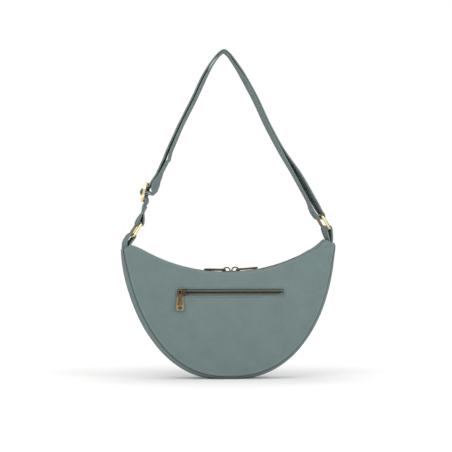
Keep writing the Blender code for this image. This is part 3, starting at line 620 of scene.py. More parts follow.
def cast_metal(name, colour, tarnish, roughness, spread, grain=0.4, far_shade_from=None):
    """Plated zinc casting or brass: a cloudy tarnish, and tumbled so that its gloss varies.

    The last argument is how far back the colour starts to darken: painted shade on a casting's far side.
    """
    made, tree, shader = new_material(name)
    spot = add_node(tree, "TexCoord", out="Object")
    # Tarnish gathers in patches of about 3 mm; the tumbled grain, too fine to show, is drawn at grain.
    patches = add_node(tree, "TexNoise", Vector=spot, Scale=1 / (3 * MM), Detail=4.0, Roughness=0.65)
    cloud = add_node(tree, "MapRange", Value=patches, i1=0.35, i2=0.7, i3=0.0, i4=spread)
    base = add_node(tree, "Mix", TONES, 2, i0=cloud, i6=tone(colour), i7=tone(tarnish))
    # Painted shade: the colour darkens from that distance to 8 mm back.
    if far_shade_from is not None:
        back = add_node(tree, "SeparateXYZ", out=1, i0=spot)
        deep = add_node(tree, "MapRange", Value=back, i1=far_shade_from * MM, i2=8 * MM, i3=0.0, i4=0.85)
        base = add_node(tree, "Mix", TONES, 2, i0=deep, i6=base, i7=tone("brass_far_shade"))
    fine = add_node(tree, "TexNoise", Vector=spot, Scale=1 / (grain * MM), Detail=2.0)
    gloss = add_node(tree, "MapRange", Value=fine, i1=0.3, i2=0.7, i3=roughness - 0.06,
                     i4=roughness + 0.08)
    fill_sockets(tree, shader, Base_Color=base, Roughness=gloss, Metallic=1.0,
                 Normal=add_node(tree, "Bump", Height=fine, Strength=0.1, Distance=0.04 * MM))
    return made


def sewing_thread():
    """Corespun polyester thread: a slight shine, and a twist that shows as slanting bands."""
    made, tree, shader = new_material("Corespun sewing thread")
    spot = add_node(tree, "TexCoord", out="Object")
    # The bands lie 0.7 mm apart; a wave texture repeats 0.628 times per unit of its scale.
    bands = add_node(tree, "TexWave", {"bands_direction": "DIAGONAL"}, "Fac", Vector=spot,
                     Scale=0.628 / (0.7 * MM))
    base = add_node(tree, "Mix", TONES, 2, i0=bands, i6=tone("canvas_thread"), i7=tone("thread"))
    fill_sockets(tree, shader, Base_Color=base, Roughness=0.6,
                 Normal=add_node(tree, "Bump", Height=bands, Strength=0.5, Distance=0.1 * MM))
    return made


# Name, colour, colour of the valleys, and the ribs' pitch, field and depth in millimetres.
WOVEN = {
    "webbing": ("Cotton webbing, herringbone twill", "webbing", "webbing_rib", 1.9, 7.25, 0.35),
    "tape": ("Polyester zip tape, herringbone", "tape", "webbing_rib", 0.9, 2.5, 0.12),
    "lining": ("Polycotton pocket lining, twill", "lining", "canvas_thread", 0.8, 100, 0.06),
}
# Name, colour, tarnish, roughness and how far the tarnish spreads. A rubbed edge is smoother and paler.
METALS = {
    "antique": ("Zinc casting in antique brass", "antique", "antique_deep", 0.40, 0.6),
    "worn": ("Antique brass rubbed bright", "antique_worn", "antique", 0.3, 0.5),
    "dark": ("Zinc casting in dark antique brass", "dark", "dark_deep", 0.42, 0.6),
    "dark_worn": ("Dark antique brass rubbed bright", "dark_worn", "dark", 0.32, 0.5),
    "tooth": ("Stamped brass tooth, oxidised brown", "tooth", "tooth_deep", 0.42, 0.5),
    "tooth_worn": ("Brass tooth rubbed by its slider", "tooth_worn", "tooth", 0.3, 0.4),
    # The brass also gives its grain, and where the painted shade on its far side starts, both in
    # millimetres.
    "brass": ("Zinc casting in pale polished brass", "brass", "brass_shade", 0.2, 0.2, 0.5, -6),
}
materials = {}


def material(key):
    """The bag's materials, each made the first time that a piece asks for it."""
    if key not in materials:
        if key in METALS:
            materials[key] = cast_metal(*METALS[key])
        elif key in WOVEN:
            materials[key] = ribbed_webbing(*WOVEN[key])
        else:
            materials[key] = washed_canvas() if key == "canvas" else sewing_thread()
    return materials[key]


# The canvas body

def front_weave(u, v, place):
    return place.x, place.z


# How the canvas lies beside its edges, and how much paler or darker it is painted there: strength, place
# and spread in millimetres. Below 0 is painted shade.
SEAM_RIDGE = [(0.4 * MM, 3.6, 1.7)]
# Paler on the ridge beside the seam.
SEAM_PALING = [(0.8, 3.4, 1.5)]
# Painted shade: a dark line in the seam's groove.
SEAM_PAINTED_SHADE = [(5.0, 0, 1.15)]
# Paler along the top edge.
TOP_PALING = [(0.7, 1.2, 1.2)]
# Painted light: the whole gusset is painted paler, for it faces the floor and gets less light.
GUSSET_PAINTED_LIGHT = 0.22
GUSSET_RIDGE = [(0.4 * MM, 3.2, 1.6)]
# Paler on the ridge beside each seam, and painted shade in the seam's groove.
GUSSET_PALING_AND_PAINTED_SHADE = [(0.4, 2.6, 1.2), (-5.2, 0, 0.8)]
# Painted shade in the seam at a strip's outer edge.
STRIP_SEAM_PAINTED_SHADE = [(2.6, 0, 1.2)]
# Painted light on the window's fold and on a band beyond the stitching, and painted shade in the
# stitching's furrow.
WINDOW_PAINTED_LIGHT_AND_SHADE = [(0.45, 0.8, 0.9), (0.4, 4.2, 1.1), (-0.75, 2.4, 0.7)]
# How far from its edges a panel's creases have their full height, and how large they are.
CREASE_FREE = 22 * MM
CREASE_LONG, CREASE_SHORT = 60, 21


def dense_ends(share, strength):
    """Shares from 0 to 1 that crowd towards both ends, so that edges get the finest mesh."""
    return share - strength * math.sin(2 * math.pi * share) / (2 * math.pi)


def panel_shell(name, side, seed):
    """A half-moon panel of sewn canvas: rolled in at its seams, gathered beside them, creased."""
    b = bag()
    paling_and_painted_shade = []

    def surface(u, v):
        v = dense_ends(v, 0.66)
        top_x = mix(-b.top_end_left, b.top_end_right, u)
        top, low = Vector((top_x, top_edge(top_x))), seam_point(2 * u - 1)
        place = mix(top, low, v)
        height = (low - top).length
        from_seam, from_top = (1 - v) * height, v * height
        from_side = (b.half_width - abs(place.x)) * 1.2
        inside = ease(min(from_seam, from_top, from_side) / CREASE_FREE)
        soft = 0.65 * wander(place.x, place.y * 0.7, seed, CREASE_LONG)
        soft += 0.35 * wander(place.x, place.y, seed, CREASE_SHORT)
        gather = wander(top_x + place.x, seed, seed + 3, 8) * fading(from_seam, 7)
        gather += 0.7 * wander(top_x * 1.3, 0, seed + 7, 7) * fading(from_top, 6)
        stand = b.crease * soft * inside + b.pucker * gather + swells(from_seam, SEAM_RIDGE)
        stand -= b.seam_roll * (rolled(from_seam, 1.4, 1.5) + 0.7 * rolled(from_top, 2.2))
        # Paler beside the seam and along the top edge, unevenly; painted shade in the seam, and painted
        # light and shade round the window.
        rubbed = swells(from_seam, SEAM_PALING) + swells(from_top, TOP_PALING)
        rubbed *= 0.7 + 0.3 * wander(place.x, place.y, 11, 7)
        rubbed -= swells(from_seam, SEAM_PAINTED_SHADE)
        if side < 0:
            stand -= window_sink(place.x, place.y)
            rubbed += window_painted_light_and_shade(place.x, place.y)
        paling_and_painted_shade.append(rubbed)
        return Vector((place.x, side * (panel_depth(place.x, place.y) + stand), place.y))

    piece = sheet(name, 250, 130, surface, front_weave)
    store_paling_and_painted_shade(piece, paling_and_painted_shade)
    facing(piece, lambda place: Vector((0, side, 0)))
    apply_modifier(piece, "SOLIDIFY", thickness=b.canvas, offset=-1, use_even_offset=False)
    return piece


def store_paling_and_painted_shade(piece, shares):
    """Writes how the canvas is painted at each point: above 0 paler, partly as painted light; below 0
    darker, as painted shade in a seam or furrow.
    """
    worn = piece.data.attributes.new("rubbed", "FLOAT", "POINT")
    worn.data.foreach_set("value", shares)


def window_painted_light_and_shade(x, z):
    """How the canvas is painted round the window: a painted highlight on the fold and on a band beyond
    it, and painted shade in the thread's furrow.
    """
    zs = zips()
    above = abs(z - zs.window_height) - zs.window_half
    beyond = max(zs.window_left - x, x - zs.window_right)
    away = max(above, beyond) if min(above, beyond) < 0 else math.hypot(above, beyond)
    return swells(away, WINDOW_PAINTED_LIGHT_AND_SHADE)


def window_sink(x, z):
    """The panel dips a little towards the pocket's zip, and draws in at the zip's ends."""
    zs = zips()
    above = abs(z - zs.window_height) - zs.window_half
    beyond = max(zs.window_left - x, x - zs.window_right, 0)
    away = math.hypot(max(above, 0), beyond)
    return zs.window_dip * fading(away, 5)


def rounded_block(name, low, high, corner, along, segments=5):
    """A block between two corners, with the edges that run along an axis rounded."""
    clear_selection()
    bpy.ops.mesh.primitive_cube_add(size=1, location=(low + high) / 2, scale=high - low)
    piece = newest(name)
    settle(piece)
    mesh = bmesh.new()
    mesh.from_mesh(piece.data)
    edges = [e for e in mesh.edges
             if abs((e.verts[0].co - e.verts[1].co).normalized().dot(along)) > 0.99]
    bmesh.ops.bevel(mesh, geom=edges, offset=corner, segments=segments, affect="EDGES", profile=0.5)
    mesh.to_mesh(piece.data)
    mesh.free()
    return piece


# From where in front of the bag to where inside it the window is cut.
CUT_FROM, CUT_TO = -60 * MM, -8 * MM


def cut_window(piece):
    """Cuts the slip pocket's window through the front panel."""
    zs = zips()
    low = Vector((zs.window_left, CUT_FROM, zs.window_height - zs.window_half))
    high = Vector((zs.window_right, CUT_TO, zs.window_height + zs.window_half))
    cut_with(piece, rounded_block("window", low, high, zs.window_corner, Vector((0, 1, 0))))
    return piece


def tube(name, line, radius, closed=False, sides=8):
    """A round cord along a line of points, made from a curve and kept as a mesh."""
    curve = bpy.data.curves.new(name, "CURVE")
    curve.dimensions = "3D"
    curve.bevel_depth = radius
    curve.bevel_resolution = max(sides // 4 - 1, 0)
    curve.use_fill_caps = not closed
    spline = curve.splines.new("POLY")
    spline.points.add(len(line) - 1)
    for point, place in zip(spline.points, line):
        point.co = (*place, 1)
    spline.use_cyclic_u = closed
    choose(put_in_scene(name, curve))
    bpy.ops.object.convert(target="MESH")
    piece = newest(name)
    smooth(piece, 50)
    return piece


# Longest step between the points of a line round the window.
LINE_STEP = 4 * MM


def window_outline(grow, corner, steps=6):
    """Points round the window, grow metres outside it, as (x, z), with their distance round it."""
    zs = zips()
    low_x, high_x = zs.window_left - grow + corner, zs.window_right + grow - corner
    low_z = zs.window_height - zs.window_half - grow + corner
    high_z = zs.window_height + zs.window_half + grow - corner
    points = []
    for centre_x, centre_z, start in ((high_x, low_z, -0.5), (high_x, high_z, 0), (low_x, high_z, 0.5),
                                      (low_x, low_z, 1)):
        for step in range(steps + 1):
            turn = math.pi * (start + 0.5 * step / steps)
            points.append((centre_x + corner * math.cos(turn), centre_z + corner * math.sin(turn)))
    full = []
    for index, (x, z) in enumerate(points):
        next_x, next_z = points[(index + 1) % len(points)]
        pieces = max(round(math.hypot(next_x - x, next_z - z) / LINE_STEP), 1)
        for piece in range(pieces):
            full.append((mix(x, next_x, piece / pieces), mix(z, next_z, piece / pieces)))
    return full


def on_front(x, z, lift):
    """A point on the front panel, lift metres off it."""
    slope = (panel_depth(x, z + MM) - panel_depth(x, z - MM)) / (2 * MM)
    out = Vector((0, -1, -slope)).normalized()
    depth = panel_depth(x, z) - window_sink(x, z)
    return Vector((x, -depth, z)) + out * lift, out


# Height of the point inside the bag that the gusset's outside faces away from.
HOLLOW_HEIGHT = 150 * MM


def gusset_shell():
    """The strip round the bottom: crowned, its edges turned in at both seams."""
    b = bag()
    paling_and_painted_shade = []

    def surface(u, v):
        turn = 2 * u - 1
        seam, away = seam_point(turn), outline_normal(turn)
        half = seat_half(seam.x, seam.y)
        across = 2 * dense_ends(v, 0.75) - 1
        from_edge = (1 - abs(across)) * half
        lift = crown_at(turn) * (1 - across ** 2)
        lift += swells(from_edge, GUSSET_RIDGE) - b.gusset_roll * rolled(from_edge, 1.3, 1.5)
        gather = wander(turn * 0.25, across * 0.01, 41, 9) * fading(from_edge, 6)
        soft = b.pucker * 0.7 * gather + b.crease * 0.35 * wander(turn * 0.25, across * 0.02, 43, 30)
        lift += soft * min(1, seam.y / b.rest_free)
        place = seam + away * lift
        # Painted light all over the gusset, paler ridges beside the seams, and painted shade in the
        # seams.
        paling_and_painted_shade.append(GUSSET_PAINTED_LIGHT + swells(from_edge, GUSSET_PALING_AND_PAINTED_SHADE))
        return Vector((place.x, half * across, max(place.y, 0.0)))

    piece = sheet("bottom_gusset_canvas", 320, 28, surface, lambda u, v, p: ((u - 0.5) * 0.52, p.y))
    store_paling_and_painted_shade(piece, paling_and_painted_shade)
    facing(piece, lambda place: Vector((place.x, 0, place.z - HOLLOW_HEIGHT)))
    apply_modifier(piece, "SOLIDIFY", thickness=b.canvas, offset=-1)
    smooth(piece, 60)
    return piece


# Where the main zip starts and stops to lie bare, and over how far.
BARE_FROM, BARE_IN, BARE_TO, BARE_OUT = 40 * MM, 10 * MM, 116 * MM, 12 * MM
# How far from the middle the strips rise beside the pulls, over how far, and how far from the zip.
PULL_END, PULL_OUT, PULL_RISE = 38 * MM, 8 * MM, 6 * MM
# Where a strip's puff starts beside the zip, over how far it grows, and over how far it ends.
PUFF_FROM, PUFF_IN, PUFF_OUT = 6.5 * MM, 3 * MM, 5 * MM


def bare(x):
    """How bare the main zip lies at x: it shows between its strips on the right half of the bag."""
    return ease((x - BARE_FROM) / BARE_IN) * ease((BARE_TO - x) / BARE_OUT)


def strip_shell(name, side, seed):
    """One of the strips beside the main zip, its inner edge folded under."""
    b, zs = bag(), zips()
    low_x, high_x = -b.top_end_left + b.strip_end, b.top_end_right - b.strip_end
    paling_and_painted_shade = []

    def surface(u, v):
        x = mix(low_x, high_x, u)
        near, far = slit_at(x), seat_half(x, top_edge(x))
        across = mix(near, far, dense_ends(v, 0.6))
        from_near, from_far = across - near, far - across
        height = strip_height(x, across)
        puff = ease((across - PUFF_FROM) / PUFF_IN) * ease(from_far / PUFF_OUT)
        by_pull = ease((PULL_END - abs(x)) / PULL_OUT) * ease(1 - from_near / PULL_RISE)
        height += 0.35 * b.pucker * wander(x, across, seed, 8)
        height += zs.strip_puff * puff * (1 - bare(x)) - zs.strip_sag * bare(x)
        height += zs.strip_rise * by_pull
        height -= zs.strip_fold * rolled(from_near, 1.2) + b.gusset_roll * rolled(from_far, 2.2)
        # Paler along the folded edge by the zip, and painted shade in the seam at the outer edge.
        paling_and_painted_shade.append(0.6 * fading(from_near, 1.2) - swells(from_far, STRIP_SEAM_PAINTED_SHADE))
        return Vector((x, side * across, height))

    piece = sheet(name, 200, 18, surface, lambda u, v, place: (place.x, place.y))
    store_paling_and_painted_shade(piece, paling_and_painted_shade)
    facing(piece, lambda place: Vector((0, 0, 1)))
    apply_modifier(piece, "SOLIDIFY", thickness=zs.strip_canvas, offset=-1)
    smooth(piece, 60)
    return piece


def stitch():
    """One topstitch lying along X: a thread that dips into the cloth at its ends."""
    b = bag()
    clear_selection()
    bpy.ops.mesh.primitive_uv_sphere_add(segments=6, ring_count=5, radius=0.5,
                                         rotation=(0, math.pi / 2, 0))
    piece = newest("stitch")
    piece.scale = (b.thread, b.thread, b.stitch_length)
    settle(piece)
    for vertex in piece.data.vertices:
        reach = 2 * vertex.co.x / b.stitch_length
        vertex.co.z += 0.25 * b.thread - 0.5 * b.thread * abs(reach) ** 3
    return piece


def repeat(name, model, frames):
    """Copies of a model, one at each matrix, joined into one piece. The model itself goes."""
    copies = []
    for place in frames:
        made = put_in_scene(name, model.data.copy())
        made.data.transform(place)
        copies.append(made)
    bpy.data.objects.remove(model, do_unlink=True)
    return join(name, copies)


def along_frame(origin, along, out):
    along = along.normalized()
    out = (out - along * out.dot(along)).normalized()
    turn = Matrix((along, out.cross(along), out)).transposed().to_4x4()
    return Matrix.Translation(origin) @ turn


def walk(line, pitch, closed=False):
    """Places every pitch metres along a line of (place, out), as frames with X along it."""
    b = list(line) + ([line[0]] if closed else [])
    frames, carried = [], pitch / 2
    for (first, out), (second, _) in zip(b, b[1:]):
        way = second - first
        length = way.length
        while carried < length:
            frames.append(along_frame(first + way * (carried / length), way, out))
            carried += pitch
        carried -= length
    return frames


def stitching(name, lines, closed=False):
    """Topstitching along lines of (place, out)."""
    b = bag()
    frames = []
    for line in lines:
        frames += walk(line, b.stitch_length + b.stitch_gap, closed)
    piece = repeat(name, stitch(), frames)
    smooth(piece, 80)
    return piece


class BAG_OT_canvas_body(bpy.types.Operator):
    """Models the two panels, the gusset and the strips beside the zip, with their stitching."""

    bl_idname = "bag.canvas_body"
    bl_label = "Canvas body"

    def execute(self, context):
        canvas = material("canvas")
        front = cut_window(panel_shell("front_panel_canvas", -1, 3))
        smooth(front, 50)
        dress(front, "bag", canvas, ["front_panel"])
        back = panel_shell("back_panel_canvas", 1, 23)
        smooth(back, 50)
        dress(back, "bag", canvas, ["back_panel"])
        dress(gusset_shell(), "bag", canvas, ["bottom_gusset"])
        for word, side, seed in (("front", -1, 31), ("back", 1, 37)):
            strip = strip_shell("top_strip_%s_canvas" % word, side, seed)
            dress(strip, "bag", canvas, ["top_strip_" + word])
        dress(window_lip(), "bag", canvas, ())
        dress(body_stitches(), "bag", material("thread"), ())
        return {"FINISHED"}


# The fold round the window: its radius, how far outside and under the panel's face it runs, its corners.
LIP_RADIUS, LIP_SHIFT, LIP_CORNER = 0.75 * MM, 0.35 * MM, 3.4 * MM
# Topstitching: how far it lies from the window and from the slit, and runs on past the zip's end.
WINDOW_SEAM, SLIT_SEAM, SEAM_TAIL = 2.4 * MM, 2.2 * MM, 4 * MM
# The corners of the topstitching round the window, and how far it stands off the canvas.
SEAM_CORNER, STITCH_LIFT = 3.0 * MM, 0.05 * MM


def window_lip():
    """The folded edge of the canvas round the pocket's window."""
    line = [on_front(x, z, -LIP_SHIFT)[0] for x, z in window_outline(LIP_SHIFT, LIP_CORNER)]
    piece = tube("window_folded_edge", line, LIP_RADIUS, closed=True)
    edit(piece, (bpy.ops.uv.smart_project, {}))
    return piece


def body_stitches():
    """Topstitching round the pocket's zip and beside the main zip."""
    reach = zips().zip_end + SEAM_TAIL
    round_zip = [on_front(x, z, STITCH_LIFT) for x, z in window_outline(WINDOW_SEAM, SEAM_CORNER)]
    lines = []
    for side in (-1, 1):
        line = []
        for step in range(121):
            x = mix(-reach, reach, step / 120)
            across = slit_at(x) + SLIT_SEAM
            place = Vector((x, side * across, strip_height(x, across) + STITCH_LIFT))
            line.append((place, chain_normal(x)))
        lines.append(line)
    pieces = [stitching("canvas_topstitching", lines),
              stitching("window_topstitching", [round_zip], closed=True)]
    return join("canvas_topstitching", pieces)


# The zips

# Over how far the tapes come together past the teeth, and how high a tape's waves stand.
TAPE_JOIN, TAPE_WAVE = 1.2 * MM, 0.12 * MM
# Where the furrow beside the teeth starts, over how far it deepens, and how deep it is on each tape.
FURROW_FROM, FURROW_REACH = 3.7 * MM, 1.1 * MM
UPPER_FURROW, LOWER_FURROW = 3 * MM, 0.6 * MM


def tape_edges(name, low, high, place, columns, closed=None, furrow=0):
    """A zip tape from low to high along its zip: place(along, across, lift) puts a point.

    Closed names the ends of the teeth, past which the two tapes are sewn edge to edge.
    """
    z = zips()

    def surface(u, v):
        along, edge = mix(low, high, u), z.tape_edge
        if closed:
            edge *= 1 - 0.95 * ease(max(closed[0] - along, along - closed[1]) / TAPE_JOIN)
        across = mix(edge, z.tape_width, v)
        deep = furrow * ease((across - FURROW_FROM) / FURROW_REACH)
        return place(along, across, TAPE_WAVE * wander(u * 0.2, across, 5, 6) - deep)

    piece = sheet(name, columns, 16, surface, lambda u, v, p: (mix(low, high, u), v * z.tape_width))
    apply_modifier(piece, "SOLIDIFY", thickness=z.tape, offset=0)
    apply_modifier(piece, "BEVEL", width=0.25 * MM, segments=2, limit_method="ANGLE",
                   angle_limit=math.radians(60))
    smooth(piece, 50)
    return piece


def tooth():
    """One cast tooth: X along the zip, Y from its narrow head to its grip on the tape, Z outwards."""
    z = zips()
    low = Vector((-z.tooth_length / 2, -z.tooth_reach, -z.tooth_height / 2))
    high = Vector((z.tooth_length / 2, z.tooth_grip, z.tooth_height / 2))
    clear_selection()
    bpy.ops.mesh.primitive_cube_add(size=1, location=(low + high) / 2, scale=high - low)
    piece = newest("tooth")
    settle(piece)
    for vertex in piece.data.vertices:
        if vertex.co.y < 0:
            vertex.co.x *= 0.8
            vertex.co.z *= 0.86
    piece.data.materials.append(material("tooth"))
    piece.data.materials.append(material("tooth_worn"))
    apply_modifier(piece, "BEVEL", width=0.36 * MM, segments=1, limit_method="ANGLE", material=1,
                   angle_limit=math.radians(30))
    return piece


def half_turn(side):
    return Matrix.Rotation(math.pi if side < 0 else 0, 4, "Z")


def tape_lift():
    """Height of the main zip's tapes on the strips' outside: they lie under the strips."""
    return -(zips().strip_canvas + bag().seat_gap + zips().tape / 2)


def main_frame(along):
    """Matrix on the main zip's tapes: X along the zip, Y to the back, Z outwards."""
    lean = along / bag().top_radius
    turn = Matrix(((math.cos(lean), 0, -math.sin(lean)), (0, 1, 0),
                   (math.sin(lean), 0, math.cos(lean))))
    return Matrix.Translation(chain_place(along, 0, tape_lift())) @ turn.to_4x4()


def along_at(x):
    return bag().top_radius * math.asin((x - zips().chain_shift) / bag().top_radius)


def tooth_middles(low, high, side, skip=(0, 0)):
    z = zips()
    count = int((high - low) / z.pitch)
    middles = [low + (index + 0.5) * z.pitch + z.pitch / 4 * side for index in range(count)]
    return [m for m in middles if m + z.tooth_length / 2 < high and not skip[0] < m < skip[1]]


# How near a face lies to the outermost one to be part of a casting's raised border.
RIM_NEAR = 0.1 * MM


def metal_copy(name, node, worn, width, segments=2, main="antique", grow=0, rim=None):
    """A CAD node's merged copy with its edges rounded over, the edges in the worn finish.

    Rim is a height: the raised border of the casting below it has the worn finish instead.
    """
    piece = node_copy(name, node)
    piece.data.materials.clear()
    piece.data.materials.append(material(main))
    piece.data.materials.append(material(worn))
    edit(piece, (bpy.ops.mesh.remove_doubles, {"threshold": 0.00001}),
         (bpy.ops.mesh.dissolve_limited, {"angle_limit": math.radians(2)}),
         (bpy.ops.transform.shrink_fatten, {"value": grow, "use_even_offset": True}))
    if rim is not None:
        edit(piece, (bpy.ops.mesh.bisect, {"plane_co": (0, 0, rim), "plane_no": (0, 0, 1)}))
        out = max(piece.data.polygons, key=lambda face: face.area).normal.copy()
        raised = [f for f in piece.data.polygons if abs(f.normal.dot(out)) > 0.98 and f.center.z < rim]
        near, far = (pick(f.center.dot(out) for f in raised) for pick in (min, max))
        for face in raised:
            if min(face.center.dot(out) - near, far - face.center.dot(out)) < RIM_NEAR:
                face.material_index = 1
    apply_modifier(piece, "BEVEL", width=width, segments=segments, limit_method="ANGLE",
                   material=0 if rim is not None else 1, angle_limit=math.radians(32),
                   use_clamp_overlap=True)
    smooth(piece, 40)
    return piece


class BAG_OT_main_zip(bpy.types.Operator):
    """Models the main zip: its tapes, teeth, two sliders and their pulls."""

    bl_idname = "bag.main_zip"
    bl_label = "Main zip"

    def execute(self, context):
        z = zips()
        low, high = along_at(-z.zip_end), along_at(z.zip_end)
        lift = tape_lift()
        skip = (along_at(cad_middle("main_slider_left")) - z.slider_clear,
                along_at(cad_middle("main_slider_right")) + z.slider_clear)
        for word, side in (("front", -1), ("back", 1)):
            piece = tape_edges("main_zip_tape_" + word, low - z.tape_tail, high + z.tape_tail,
                               lambda a, c, up: chain_place(a, side * c, lift + up), 160)
            frames = [main_frame(m) @ half_turn(side) for m in tooth_middles(low, high, side, skip)]
            teeth = repeat("main_zip_teeth_" + word, tooth(), frames)
            dress(piece, "bag", material("tape"), ["main_tape_" + word])
            dress(teeth, "bag", None, ())
        for word in ("left", "right"):
            slider = metal_copy("main_slider_%s_cast" % word, "main_slider_" + word, "antique",
                                z.slider_edge, main="dark", grow=z.slider_grow)
            dress(slider, "zip_slider_" + word, None, ["main_slider_" + word])
            pull = metal_copy("main_pull_%s_cast" % word, "main_pull_" + word, "dark_worn",
                              z.pull_edge, main="dark", grow=z.pull_grow)
            dress(pull, "zip_pull_" + word, None, ["main_pull_" + word])
        return {"FINISHED"}


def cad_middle(node):
    low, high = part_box(node)
    return (low.x + high.x) / 2


class BAG_OT_pocket_zip(bpy.types.Operator):
    """Models the slip pocket's zip, with its tapes, teeth, slider and pull, and the pouch behind it."""

    bl_idname = "bag.pocket_zip"
    bl_label = "Pocket zip"

    def execute(self, context):
        z = zips()
        for word, side, furrow in (("lower", -1, LOWER_FURROW), ("upper", 1, UPPER_FURROW)):
            piece = tape_edges("pocket_zip_tape_" + word, z.window_left - z.tape_tail,
                               z.window_right + z.tape_tail,
                               lambda a, c, up: pocket_frame(a) @ Vector((0, side * c, up)), 160,
                               (z.teeth_left - z.slider_stretch, z.teeth_right), furrow)
            frames = [pocket_frame(m) @ half_turn(side)
                      for m in tooth_middles(z.teeth_left, z.teeth_right, side)]
            teeth = repeat("pocket_zip_teeth_" + word, tooth(), frames)
            dress(piece, "bag", material("tape"), ["pocket_tape_" + word])
            dress(teeth, "bag", None, ())
        slider = metal_copy("pocket_slider_cast", "pocket_slider", "worn", z.slider_edge, main="dark")
        dress(slider, "pocket_zip_slider", None, ["pocket_slider"])
        pull_low, pull_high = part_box("pocket_pull")
        pull = metal_copy("pocket_pull_cast", "pocket_pull", "worn", z.pocket_pull_edge,
                          rim=mix(pull_high.z, pull_low.z, 0.34))
        dress(pull, "pocket_zip_pull", None, ["pocket_pull"])
        dress(pouch(), "bag", material("lining"), ["pocket_bag"])
        return {"FINISHED"}


# The pouch's lining and corners, inside and out.
LINING, POUCH_CORNER, INSIDE_CORNER = 0.8 * MM, 9 * MM, 8.2 * MM
# The mouth's half height, its corners, and its reach before and behind the pouch's front.
MOUTH_HALF, MOUTH_CORNER, MOUTH_BEFORE, MOUTH_BEHIND = 6.5 * MM, 2 * MM, 4 * MM, 3 * MM


def pouch():
    """The pocket's pouch: two layers of thin lining joined round their edges, open at the zip."""
    z = zips()
    low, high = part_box("pocket_bag")
    deep = Vector((0, 1, 0))
    piece = rounded_block("pocket_pouch", low, high, POUCH_CORNER, deep)
    wall = Vector((LINING, LINING, LINING))
    cut_with(piece, rounded_block("inside", low + wall, high - wall, INSIDE_CORNER, deep))
    mouth_low = Vector((z.window_left, low.y - MOUTH_BEFORE, z.window_height - MOUTH_HALF))
    mouth_high = Vector((z.window_right, low.y + MOUTH_BEHIND, z.window_height + MOUTH_HALF))
    cut_with(piece, rounded_block("mouth", mouth_low, mouth_high, MOUTH_CORNER, deep))
    apply_modifier(piece, "BEVEL", width=0.3 * MM, segments=2, limit_method="ANGLE",
                   angle_limit=math.radians(50))
    edit(piece, (bpy.ops.uv.cube_project, {"cube_size": 1.0}))
    smooth(piece, 40)
    return piece


# Rings, webbing and adjuster

def flat(point):
    return Vector((point.x, point.z))


def turned(yaw, lean):
    """Directions of a fitting: along its bars, and up its middle."""
    along = Vector((math.sin(yaw), math.cos(yaw), 0))
    sideways = Vector((math.cos(yaw), -math.sin(yaw), 0))
    return along, sideways * math.sin(lean) + Vector((0, 0, 1)) * math.cos(lean)


def left_pivot():
    return Vector((strap().left_x, 0, strap().left_z))


def right_pivot():
    return Vector((strap().right_x, 0, strap().right_z))


def adjuster_place():
    return Vector((strap().adjuster_x, 0, strap().adjuster_z))


def left_bar():
    return left_pivot() + turned(strap().ring_yaw, strap().lean_left)[1] * strap().ring_short


def right_bar():
    return right_pivot() + turned(strap().ring_yaw, strap().lean_right)[1] * strap().ring_short


def smooth_line(points, steps):
    """A smooth line through the points, a few steps from each to the next."""
    line = []
    for index in range(len(points) - 1):
        p1, p2 = points[index], points[index + 1]
        p0 = points[index - 1] if index else p1 * 2 - p2
        p3 = points[index + 2] if index + 2 < len(points) else p2 * 2 - p1
        for step in range(steps):
            t = step / steps
            line.append((p1 * 2 + (p2 - p0) * t + (p0 * 2 - p1 * 5 + p2 * 4 - p3) * t ** 2
                         + (p1 * 3 - p0 - p2 * 3 + p3) * t ** 3) / 2)
    line.append(points[-1])
    return line


def directions(line):
    before, after = line[:1] + line[:-1], line[1:] + line[-1:]
    return [(second - first).normalized() for first, second in zip(before, after)]


def beside(line, offsets, side):
    """A line's neighbour, offset to one side of it at each point."""
    return [p + Vector((-w.y, w.x)) * o * side for p, w, o in zip(line, directions(line), offsets)]


def round_bar(way, centre, radius, steps):
    normal = Vector((-way.y, way.x))
    turns = [math.pi * step / steps for step in range(steps + 1)]
    return [centre + (normal * math.cos(turn) + way * math.sin(turn)) * radius for turn in turns]


def looped(line, offsets, centre, radius, steps):
    """Out along one side of a middle line, round a bar at its end, and back along the other side."""
    arc = round_bar(directions(line)[-1], centre, radius, steps)
    return beside(line, offsets, 1) + arc + beside(line, offsets, -1)[::-1]


# How high the webbing's waves stand, and the rounding of its edges.
WEBBING_WAVE, WEBBING_EDGE = 0.16 * MM, 0.5 * MM


def webbing_piece(name, path, thick, width, drape, seed=0):
    """Woven webbing along a path in the front view. Drape gives its yaw and depth at each height."""
    ways = directions(path)
    arcs = [0]
    for first, second in zip(path, path[1:]):
        arcs.append(arcs[-1] + (second - first).length)
    last = len(path) - 1
    spots = []
    for place, way in zip(path, ways):
        yaw, middle = drape(place)
        across = Vector((math.sin(yaw), math.cos(yaw), 0))
        out = across.cross(Vector((way.x, 0, way.y))).normalized()
        spots.append((Vector((place.x, middle, place.y)), across, out))

    def surface(u, v):
        centre, across, out = spots[round(u * last)]
        share = 2 * v - 1
        soft = WEBBING_WAVE * wander(arcs[round(u * last)], share * 0.01, seed, 17)
        return centre + across * width / 2 * share + out * soft

    piece = sheet(name, last, 10, surface, lambda u, v, p: (arcs[round(u * last)], (v - 0.5) * width))
    apply_modifier(piece, "SOLIDIFY", thickness=thick, offset=0)
    apply_modifier(piece, "BEVEL", width=WEBBING_EDGE, segments=3, limit_method="ANGLE",
                   angle_limit=math.radians(60))
    smooth(piece, 50)
    return piece


def local_line(origin, shares, unit):
    return [flat(origin) + Vector((x, z)) * unit for x, z in shares]


